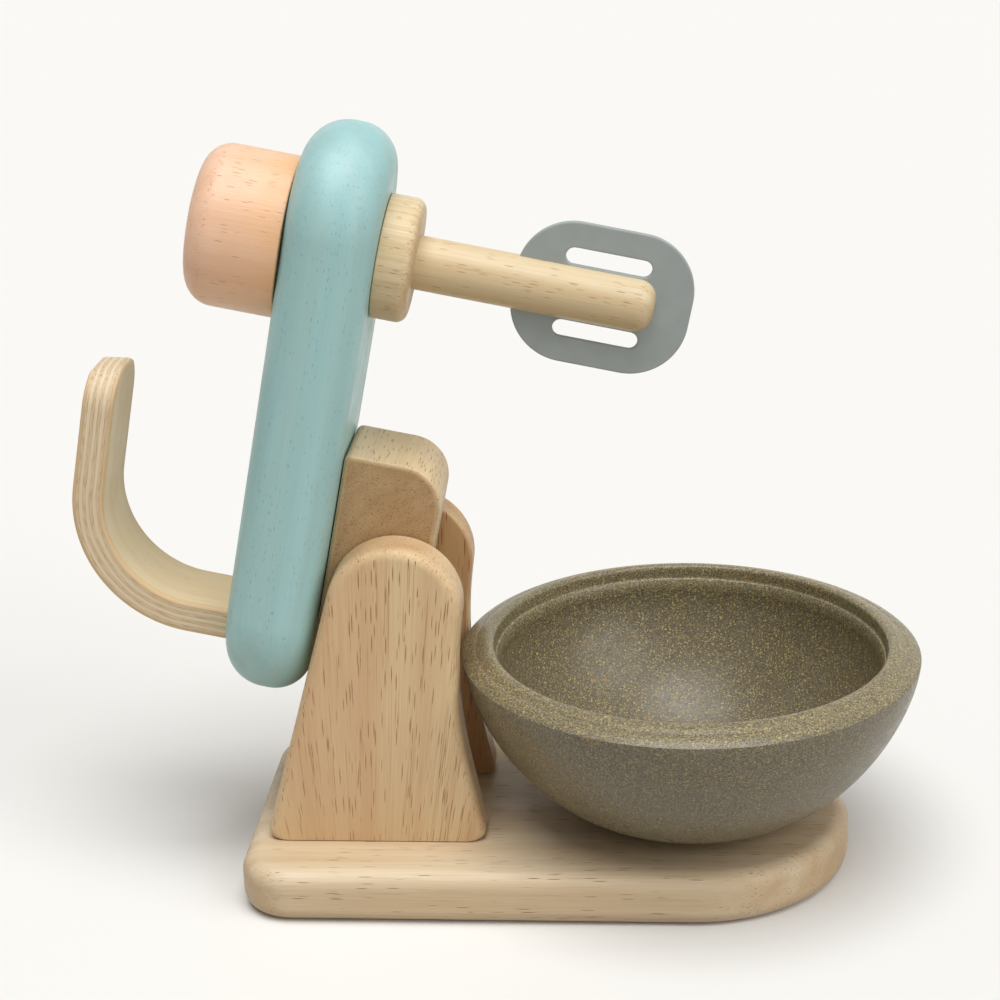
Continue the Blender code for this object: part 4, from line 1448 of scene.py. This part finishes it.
    def build(self) -> None:
        """Makes and dresses every piece of the head."""
        self.dress(self.arm(), "head_arm", "head", WoodFinish(
            "arm_teal_stain", "teal_wood", grain=Grain.ALONG_ARM, place=(0.0, 0.01, 0.02),
            pale=linear(168, 210, 212), warm=linear(156, 202, 204), streak=linear(162, 186, 177),
            pore=linear(84, 122, 126), pith=(0.0, 12.0, 42.0), band_gap=8.0, pores=0.3,
            pore_length=2.4, pore_gap=0.42, band_share=0.16, fibre_share=0.22, pore_share=0.48,
            wander=(0.0, 1.5, 4.0), lines=0.12, edge_share=0.0,
            end_shade=0.06, roughness=0.38), fit=True)
        self.dress(self.block(), "pivot_block", "head", WoodFinish(
            "block_wood", "rubberwood", grain=Grain.ACROSS, place=(0.0, 0.0, 0.0),
            pale=linear(226, 204, 164), warm=linear(216, 190, 146), streak=linear(186, 154, 114),
            pore=linear(104, 70, 44), pith=(0.0, 12.0, 74.0), band_gap=5.0, pores=1.6, band_share=0.16,
            pore_gap=0.62, pore_share=0.85, fibre_share=0.3, wander=(0.0, 1.5, 1.5), end_shade=0.66))
        self.coat(("block_lower_dowel", "block_upper_dowel"),
                  WoodFinish("block_peg_wood", "dowel_wood", grain=Grain.ALONG_SHAFT, pores=0.3))
        self.dress(self.handle(), "lift_handle", "head", PlyFinish("bent_plywood", "plywood"), fit=True)


@dataclass
class Mixer(Assembly):
    """Spinning pieces, modelled about the shaft: z towards the paddle from the arm's underside.

    Attributes:
        arm_thickness: Thickness of the arm that the shaft passes.
        shaft_radius: Radius of the shaft.
        shaft_length: Arm's underside to the shaft's tip.
        shaft_round: Radius of the shaft's tip.
        knob_radius: Radius of the knob.
        knob_length: Length of the knob.
        knob_round: Radius of the knob's free rim.
        knob_rim: Radius of the knob's rim at the arm.
        collar_radius: Radius of the collar.
        collar_length: Length of the collar.
        collar_round: Radius of the collar's free rim.
        collar_rim: Radius of the collar's rim at the arm.
        paddle_start: Arm's underside to the paddle.
        paddle_length: Length of the paddle.
        paddle_width: Width of the paddle.
        paddle_thickness: Thickness of the paddle.
        paddle_corner: Radius of the paddle's corners.
        paddle_rim: Radius of the paddle's edges.
        slot_length: Length of a slot.
        slot_width: Width of a slot.
        slot_offset: Shaft's axis to the middle of a slot.
        seat: Hair line between the arm and what is glued to it.
        glue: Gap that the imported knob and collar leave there, which sets their far faces.
        shaft_in_knob: Arm's back to the shaft's end inside the knob.
        axis_steps: Facets of the paddle's middle line.
        rim_steps: Facets of a turned rim.
        turn_steps: Facets round a turned piece.
    """

    arm_thickness: float = 0.0252
    shaft_radius: float = 0.00745
    shaft_length: float = 0.0760
    shaft_round: float = 0.0052
    knob_radius: float = 0.0224
    knob_length: float = 0.0258
    knob_round: float = 0.0077
    knob_rim: float = 0.0005
    collar_radius: float = 0.0172
    collar_length: float = 0.0096
    collar_round: float = 0.0031
    collar_rim: float = 0.0004
    paddle_start: float = 0.0369
    paddle_length: float = 0.0492
    paddle_width: float = 0.0394
    paddle_thickness: float = 0.0020
    paddle_corner: float = 0.0160
    paddle_rim: float = 0.0004
    slot_length: float = 0.0238
    slot_width: float = 0.0047
    slot_offset: float = 0.0102
    seat: float = 0.00006
    glue: float = 0.0003
    shaft_in_knob: float = 0.018
    axis_steps: int = 80
    rim_steps: int = 14
    turn_steps: int = 128

    def set_up(self, skin: Skin) -> Skin:
        """The skin moved from the shaft's own axes into the toy."""
        stand = spindle_stand()
        return skin.moved(stand.turn, stand.place)

    def solid_turning(self, low: float, high: float, radius: float, low_round: float,
                      high_round: float) -> Skin:
        """A turned cylinder with both rims rolled and a point at each pole.

        Args:
            low: Height of the lower face.
            high: Height of the upper face.
            radius: Radius of the side.
            low_round: Radius of the lower rim.
            high_round: Radius of the upper rim.

        Returns:
            The skin in the toy's frame.
        """
        bottom = rolled_rim(radius, low, low_round, self.rim_steps, False)[::-1]
        top = rolled_rim(radius, high, high_round, self.rim_steps, True)
        stops = np.array((0.0, 0.5, 0.94))
        low_face = np.column_stack(((radius - low_round) * stops, np.full(3, low)))
        high_face = np.column_stack(((radius - high_round) * stops, np.full(3, high)))[::-1]
        return self.set_up(turning(np.vstack((low_face, bottom, top, high_face)), self.turn_steps))

    def knob(self) -> Skin:
        """Turned knob behind the arm."""
        face = -self.arm_thickness - self.seat
        back = -self.arm_thickness - self.glue - self.knob_length
        return self.solid_turning(back, face, self.knob_radius, self.knob_round, self.knob_rim)

    def collar(self) -> Skin:
        """Turned ring against the arm's underside."""
        return self.solid_turning(self.seat, self.glue + self.collar_length, self.collar_radius,
                                  self.collar_rim, self.collar_round)

    def shaft(self) -> Skin:
        """Dowel through arm and collar with a rounded tip, filled where the paddle stands in it."""
        start = -self.arm_thickness - self.shaft_in_knob
        return self.solid_turning(start, self.shaft_length, self.shaft_radius, self.knob_rim,
                                  self.shaft_round)

    def slot_hit(self, way: Array, grow: float) -> Array:
        """Where rays from a slot's middle meet its edge, a straight side or a round end.

        With half straight length a and radius r, a ray (c, s) meets the side at r / |s| while
        |c| / |s| r is at most a, and otherwise the end circle at a |c| + sqrt(r r - a a s s).

        Args:
            way: Rows of unit directions.
            grow: How far outside the slot's edge, in metres.

        Returns:
            Rows of places about the slot's middle.
        """
        radius = self.slot_width / 2 + grow
        half = (self.slot_length - self.slot_width) / 2
        c = np.abs(way[:, 0])
        s = np.maximum(np.abs(way[:, 1]), 1e-12)
        side = radius / s
        end = half * c + np.sqrt(np.maximum(radius ** 2 - (half * s) ** 2, 0.0))
        reach = np.where(side * c <= half, side, end)
        return way * reach[:, None]

    def half_outline(self, inset: float) -> Array:
        """Outline of the paddle's half above the shaft's axis, round a slot, evenly spaced.

        Args:
            inset: How far inside the paddle's edge, but on the axis it stays.

        Returns:
            Rows of along and across about the paddle's middle, anticlockwise and closed.
        """
        long = self.paddle_length / 2
        wide = self.paddle_width / 2
        corner = self.paddle_corner
        bend = np.linspace(0.0, math.pi / 2, 33)[:, None]
        way = np.hstack((np.cos(bend), np.sin(bend)))
        rise = np.linspace(0.0, wide - corner, 9)[:-1, None]
        right = np.hstack((np.full_like(rise, long - inset), rise))
        first = np.array((long - corner, wide - corner)) + (corner - inset) * way
        top = np.linspace(long - corner, corner - long, 31)[1:-1, None]
        flat = np.hstack((top, np.full_like(top, wide - inset)))
        second = np.array((corner - long, wide - corner)) + (corner - inset) * (way[::-1] * (-1, 1))
        left = np.hstack((np.full_like(rise, inset - long), rise))[::-1]
        axis = np.linspace(inset - long, long - inset, self.axis_steps + 1)[1:-1, None]
        base = np.hstack((axis, np.zeros_like(axis)))
        return np.vstack((right, first, flat, second, left, base))

    def paddle(self) -> Skin:
        """Flat beater with two slots: each half is ruled from its slot to its outline on both faces.

        Face point = (1 - t) slot edge + t outline along each ray from the slot's middle, t from 0 to 1;
        the slot's and the outline's walls turn over the rims as quarter circles.
        """
        thick = self.paddle_thickness / 2
        rim = self.paddle_rim
        angle = np.linspace(0.0, math.pi / 2, 4)
        skin = Skin()
        outer = self.half_outline(rim)
        middle = np.array((0.0, self.slot_offset))
        ray = outer - middle
        way = ray / np.linalg.norm(ray, axis=1)[:, None]
        inner = self.slot_hit(way, rim) + middle
        share = np.array((0.0, 0.06, 0.35, 0.7, 0.96, 1.0))[:, None, None]
        face = (1 - share) * inner + share * outer
        wall_turns = np.column_stack((thick - rim * (1 - np.cos(angle)), rim * np.sin(angle)))
        wall = np.vstack((wall_turns, wall_turns[::-1] * (-1, 1)))
        rows = [np.column_stack((self.slot_hit(way, rim - depth) + middle, np.full(len(way), height)))
                for height, depth in wall]
        for side in (1, -1):
            for height in (thick, -thick):
                grid = np.concatenate((face, np.full(face.shape[:2] + (1,), height)), axis=2)
                skin.add_grid(grid * (1, side, 1))
            skin.add_grid(np.array(rows) * (1, side, 1))
        edge = self.outer_edge(rim)
        rows = [np.column_stack((edge[:, :2] - (rim - depth) * edge[:, 2:], np.full(len(edge), height)))
                for height, depth in wall]
        skin.add_grid(np.array(rows))
        placed = skin.points[:, [1, 2, 0]]
        placed[:, 2] += self.paddle_start + self.paddle_length / 2
        skin.points = placed
        return self.set_up(skin)

    def outer_edge(self, rim: float) -> Array:
        """Whole outline of the paddle, point for point the two halves' edges, with its directions.

        Args:
            rim: Inset at which the halves' edges lie.

        Returns:
            Rows of along, across and the outward direction.
        """
        apart = 0.001
        count = 1 - self.axis_steps
        edge = self.half_outline(rim)[:count]
        inside = self.half_outline(rim + apart)[:count]
        way = (edge - inside) / apart
        upper = np.column_stack((edge + rim * way, way))
        lower = upper[1:-1][::-1] * (1, -1, 1, -1)
        return np.vstack((upper, lower))

    def build(self) -> None:
        """Makes and dresses every spinning piece."""
        # The knob's strong orange edge tone on its rim by the arm is a painted highlight: the lit rim line
        # seen beside the arm.
        self.dress(self.knob(), "mixer_knob", "mixer", WoodFinish(
            "knob_peach_stain", "peach_wood", grain=Grain.ALONG_SHAFT, place=(0.0, 0.0, 0.18),
            pale=linear(243, 202, 170), warm=linear(236, 188, 152), streak=linear(222, 166, 130),
            pore=linear(140, 80, 54), pith=(0.0, 50.0, 30.0), band_gap=9.0, pores=0.34,
            pore_length=5.0, pore_gap=0.42, band_share=0.16, fibre_share=0.14, pore_share=0.75,
            end_shade=0.1, lines=0.2, edge_tone=linear(240, 186, 132), edge_share=0.75, roughness=0.38))
        self.dress(self.collar(), "mixer_collar", "mixer", WoodFinish(
            "collar_wood", "rubberwood", grain=Grain.ALONG_SHAFT, place=(0.0, 0.02, 0.18),
            pale=linear(232, 212, 174), warm=linear(220, 196, 154), streak=linear(182, 144, 100),
            pith=(0.0, 20.0, 40.0), band_gap=2.6, pores=0.4, pore_length=4.0, fibre_share=0.3,
            end_shade=0.3))
        self.dress(self.shaft(), "mixer_shaft", "mixer", WoodFinish(
            "shaft_wood", "rubberwood", grain=Grain.ALONG_SHAFT, place=(0.05, 0.03, 0.2),
            pale=linear(221, 204, 168), warm=linear(214, 191, 151), streak=linear(196, 162, 115),
            pore=linear(150, 92, 50), pith=(0.0, 30.0, 20.0), band_gap=4.0, pores=0.5, pore_length=6.0,
            fibre_share=0.14, lines=0.45, end_shade=0.2, roughness=0.42))
        self.dress(self.paddle(), "paddle", "mixer", SheetFinish("paddle_grey", "grey_sheet"))


@dataclass
class Bowl(Assembly):
    """Turned bowl on a flat foot, with a banded rim, a rounded crest and a ledge inside it.

    Attributes:
        radius: Radius at the sharp outer edge.
        belly: Foot to that edge.
        foot_radius: Radius of the foot.
        floor: Thickness of the floor.
        well_radius: Radius of the flat floor inside.
        outer_curve: Exponent of the outer wall.
        inner_curve: Exponent of the inner wall.
        rim_width: Outer edge to the inner wall.
        rim_rise: Outer edge to the crest.
        ledge_drop: Outer edge down to the inner wall's top.
        band: Rim from the edge inwards, as shares of its width and rise.
        lip: Crest down to the inner wall, as shares of the width and the drop.
        wall_steps: Facets of each wall from foot to rim.
        rim_steps: Facets between two points of the rim.
        turn_steps: Facets round the axis.
    """

    radius: float = 0.0660
    belly: float = 0.0489
    foot_radius: float = 0.0180
    floor: float = 0.0055
    well_radius: float = 0.0140
    outer_curve: float = 1.5
    inner_curve: float = 1.6
    rim_width: float = 0.0110
    rim_rise: float = 0.0034
    ledge_drop: float = 0.0044
    band: tuple[tuple[float, float], ...] = (
        (0.10, 0.27), (0.20, 0.44), (0.31, 0.57), (0.37, 0.60), (0.42, 0.67), (0.53, 0.86),
        (0.645, 0.97), (0.745, 1.0), (0.82, 0.91), (0.86, 0.67))
    lip: tuple[tuple[float, float], ...] = ((0.885, 0.07), (0.93, 0.20), (0.97, 0.45), (0.99, 0.70))
    wall_steps: int = 40
    rim_steps: int = 5
    turn_steps: int = 180

    def wall(self, top_radius: float, top: float, foot_radius: float, foot: float, curve: float) -> Array:
        """Wall from its foot up, r = foot + (top - foot) sqrt(1 - (1 - h) ** curve), h from 0 to 1.

        Args:
            top_radius: Radius at the top.
            top: Height of the top.
            foot_radius: Radius at the foot.
            foot: Height of the foot.
            curve: Exponent, fuller at the belly where higher.

        Returns:
            Rows of radius and height.
        """
        depth = 1 - (1 - np.linspace(0.0, 1.0, self.wall_steps + 1)) ** 2
        share = np.sqrt(1 - (1 - depth) ** curve)
        return np.column_stack((foot_radius + (top_radius - foot_radius) * share,
                                foot + (top - foot) * depth))

    def bowl(self) -> Skin:
        """The bowl as one turning: foot, outer wall, band, crest, lip, inner wall and floor."""
        band = np.array(self.band) * (-self.rim_width, self.rim_rise) + (self.radius, self.belly)
        lip = np.array(self.lip) * (-self.rim_width, -self.ledge_drop) + (self.radius, self.belly)
        inner_radius = self.radius - self.rim_width
        outside = self.wall(self.radius, self.belly, self.foot_radius, 0.0, self.outer_curve)
        inside = self.wall(inner_radius, self.belly - self.ledge_drop, self.well_radius, self.floor,
                           self.inner_curve)[::-1]
        rim = through_points(np.vstack((band, lip, inside[0])), self.rim_steps)[:-1]
        foot = np.array(((0.0, 0.0), (self.foot_radius * 0.6, 0.0)))
        floor = np.array(((self.well_radius * 0.6, self.floor), (0.0, self.floor)))
        profile = np.vstack((foot, outside, rim, inside, floor))
        low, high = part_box("bowl")
        skin = turning(profile, self.turn_steps).moved(np.eye(3), ((low.x + high.x) / 2, 0.0, low.z))
        place = np.arange(len(profile))
        edge = len(foot) + len(outside)
        # Zones for the finish: the outer wall, and the rim, whose paler band colour is partly a painted
        # highlight.
        zones = np.column_stack((profile[:, 1], place < edge, (place >= edge) & (place < edge + len(rim))))
        skin.flat = np.repeat(zones, self.turn_steps, axis=0)
        return skin

    def build(self) -> None:
        """Makes and dresses the bowl."""
        self.dress(self.bowl(), "bowl", "bowl", CompositeFinish("bowl_composite", "wood_composite"),
                   fit=True)


# Studio


@dataclass
class Studio:
    """Camera, floor, lamps and world.

    Attributes:
        camera_place: Where the camera stands.
        azimuth: Angle of the camera round the toy, in radians.
        elevation: Angle of the camera above the horizon.
        roll: Turn of the camera about its own axis.
        lens: Focal length on a 36 mm sensor, in millimetres.
        floor_colour: Colour of the floor.
        backdrop_colour: Colour of the backdrop, as the lit floor looks, which polished faces mirror.
        bounce_colour: Colour that the floor throws back onto the toy.
        air_colour: Colour of the light that comes from everywhere.
        ambient: Strength of the world's light.
        floor_reach: Middle of the floor to its sides.
    """

    camera_place: tuple[float, float, float] = (0.02606, -0.54919, 0.30413)
    azimuth: float = 0.07166
    elevation: float = 0.3387
    roll: float = -0.02555
    lens: float = 74.05
    floor_colour: Colour = linear(236, 235, 232)
    backdrop_colour: Colour = linear(244, 243, 239)
    bounce_colour: Colour = linear(196, 190, 182)
    air_colour: Colour = (1.0, 0.97, 0.93)
    ambient: float = 0.21
    floor_reach: float = 8.0

    def back_way(self, azimuth: float, elevation: float) -> Array:
        """Direction from the toy to a camera or lamp, (sin a cos e, -cos a cos e, sin e)."""
        level = math.cos(elevation)
        return np.array((math.sin(azimuth) * level, -math.cos(azimuth) * level, math.sin(elevation)))

    def stand_up(self, item: bpy.types.Object, right: Array, up: Array, back: Array, place: Array) -> None:
        """Links an object that looks away from back, with its axes and its place."""
        bpy.context.scene.collection.objects.link(item)
        matrix = np.eye(4)
        matrix[:3] = np.column_stack((right, up, back, place))
        item.matrix_world = Matrix(matrix.tolist())

    def camera(self) -> None:
        """Camera with its axes back, right and up, rolled about the first."""
        a, r = self.azimuth, self.roll
        back = self.back_way(a, self.elevation)
        level = np.array((math.cos(a), math.sin(a), 0.0))
        above = np.cross(back, level)
        right = math.cos(r) * level + math.sin(r) * above
        up = -math.sin(r) * level + math.cos(r) * above
        data = bpy.data.cameras.new("camera")
        data.lens = self.lens
        data.sensor_width = 36.0
        data.clip_start = 0.01
        data.clip_end = 50.0
        item = bpy.data.objects.new("camera", data)
        self.stand_up(item, right, up, back, self.camera_place)
        bpy.context.scene.camera = item

    def seen_share(self, tree: Tree) -> Socket:
        """1 for a ray that shows a surface, straight, mirrored or through glass, and 0 for its light."""
        path = tree.node("LightPath")
        shown = tree.math("MAXIMUM", path.outputs["Is Camera Ray"], path.outputs["Is Glossy Ray"])
        return tree.math("MAXIMUM", shown, path.outputs["Is Transmission Ray"])

    def floor(self) -> None:
        """Plain pale floor that takes the toy's shadow."""
        size = self.floor_reach
        corners = [(-size, -size, 0.0), (size, -size, 0.0), (size, size, 0.0), (-size, size, 0.0)]
        mesh = bpy.data.meshes.new("floor")
        mesh.from_pydata(corners, [], [(0, 1, 2, 3)])
        item = bpy.data.objects.new("floor", mesh)
        bpy.context.scene.collection.objects.link(item)
        material = bpy.data.materials.new("floor")
        material.use_nodes = True
        shader = material.node_tree.nodes["Principled BSDF"]
        tree = Tree(material.node_tree)
        tree.feed(shader.inputs["Base Color"],
                  tree.blend(self.seen_share(tree), self.bounce_colour, self.floor_colour))
        shader.inputs["Roughness"].default_value = 0.9
        shader.inputs["Specular IOR Level"].default_value = 0.1
        item.data.materials.append(material)

    def lamp(self, name: str, azimuth: float, elevation: float, spread: float, energy: float) -> None:
        """Wide soft light from one side, even over the whole floor.

        Args:
            name: Name of the lamp.
            azimuth: Degrees round the toy, 0 in front and 90 at the bowl's end.
            elevation: Degrees above the floor.
            spread: Degrees that the lamp covers.
            energy: Strength.
        """
        data = bpy.data.lights.new(name, "SUN")
        data.angle = math.radians(spread)
        data.energy = energy
        back = self.back_way(math.radians(azimuth), math.radians(elevation))
        right = np.cross((0.0, 0.0, 1.0), back)
        right /= np.linalg.norm(right)
        self.stand_up(bpy.data.objects.new(name, data), right, np.cross(back, right), back, back)

    def world(self) -> None:
        """Even pale surroundings."""
        world = bpy.data.worlds.new("studio")
        world.use_nodes = True
        tree = Tree(world.node_tree)
        light = world.node_tree.nodes["Background"]
        light.inputs["Color"].default_value = (*self.air_colour, 1.0)
        light.inputs["Strength"].default_value = self.ambient
        seen = tree.node("Background")
        seen.inputs["Color"].default_value = (*self.backdrop_colour, 1.0)
        mix = tree.node("MixShader")
        tree.feed(mix.inputs[0], self.seen_share(tree))
        tree.feed(mix.inputs[1], light.outputs[0])
        tree.feed(mix.inputs[2], seen.outputs[0])
        tree.feed(world.node_tree.nodes["World Output"].inputs["Surface"], mix.outputs[0])
        bpy.context.scene.world = world

    def build(self) -> None:
        """Sets the whole studio up."""
        self.camera()
        self.floor()
        self.world()
        self.lamp("key", azimuth=0.0, elevation=77.0, spread=44.0, energy=2.4)
        self.lamp("fill", azimuth=58.0, elevation=33.0, spread=44.0, energy=1.1)
        bpy.context.scene.view_settings.view_transform = "Standard"
        log.info("studio is up")


def main() -> None:
    """Builds the studio and every sub-assembly."""
    logging.basicConfig(level=logging.INFO, format="%(name)s %(message)s")
    groups = Groups()
    Studio().build()
    for assembly in (StandBase(groups), TiltingHead(groups), Mixer(groups), Bowl(groups)):
        assembly.build()


if __name__ == "__main__":
    main()
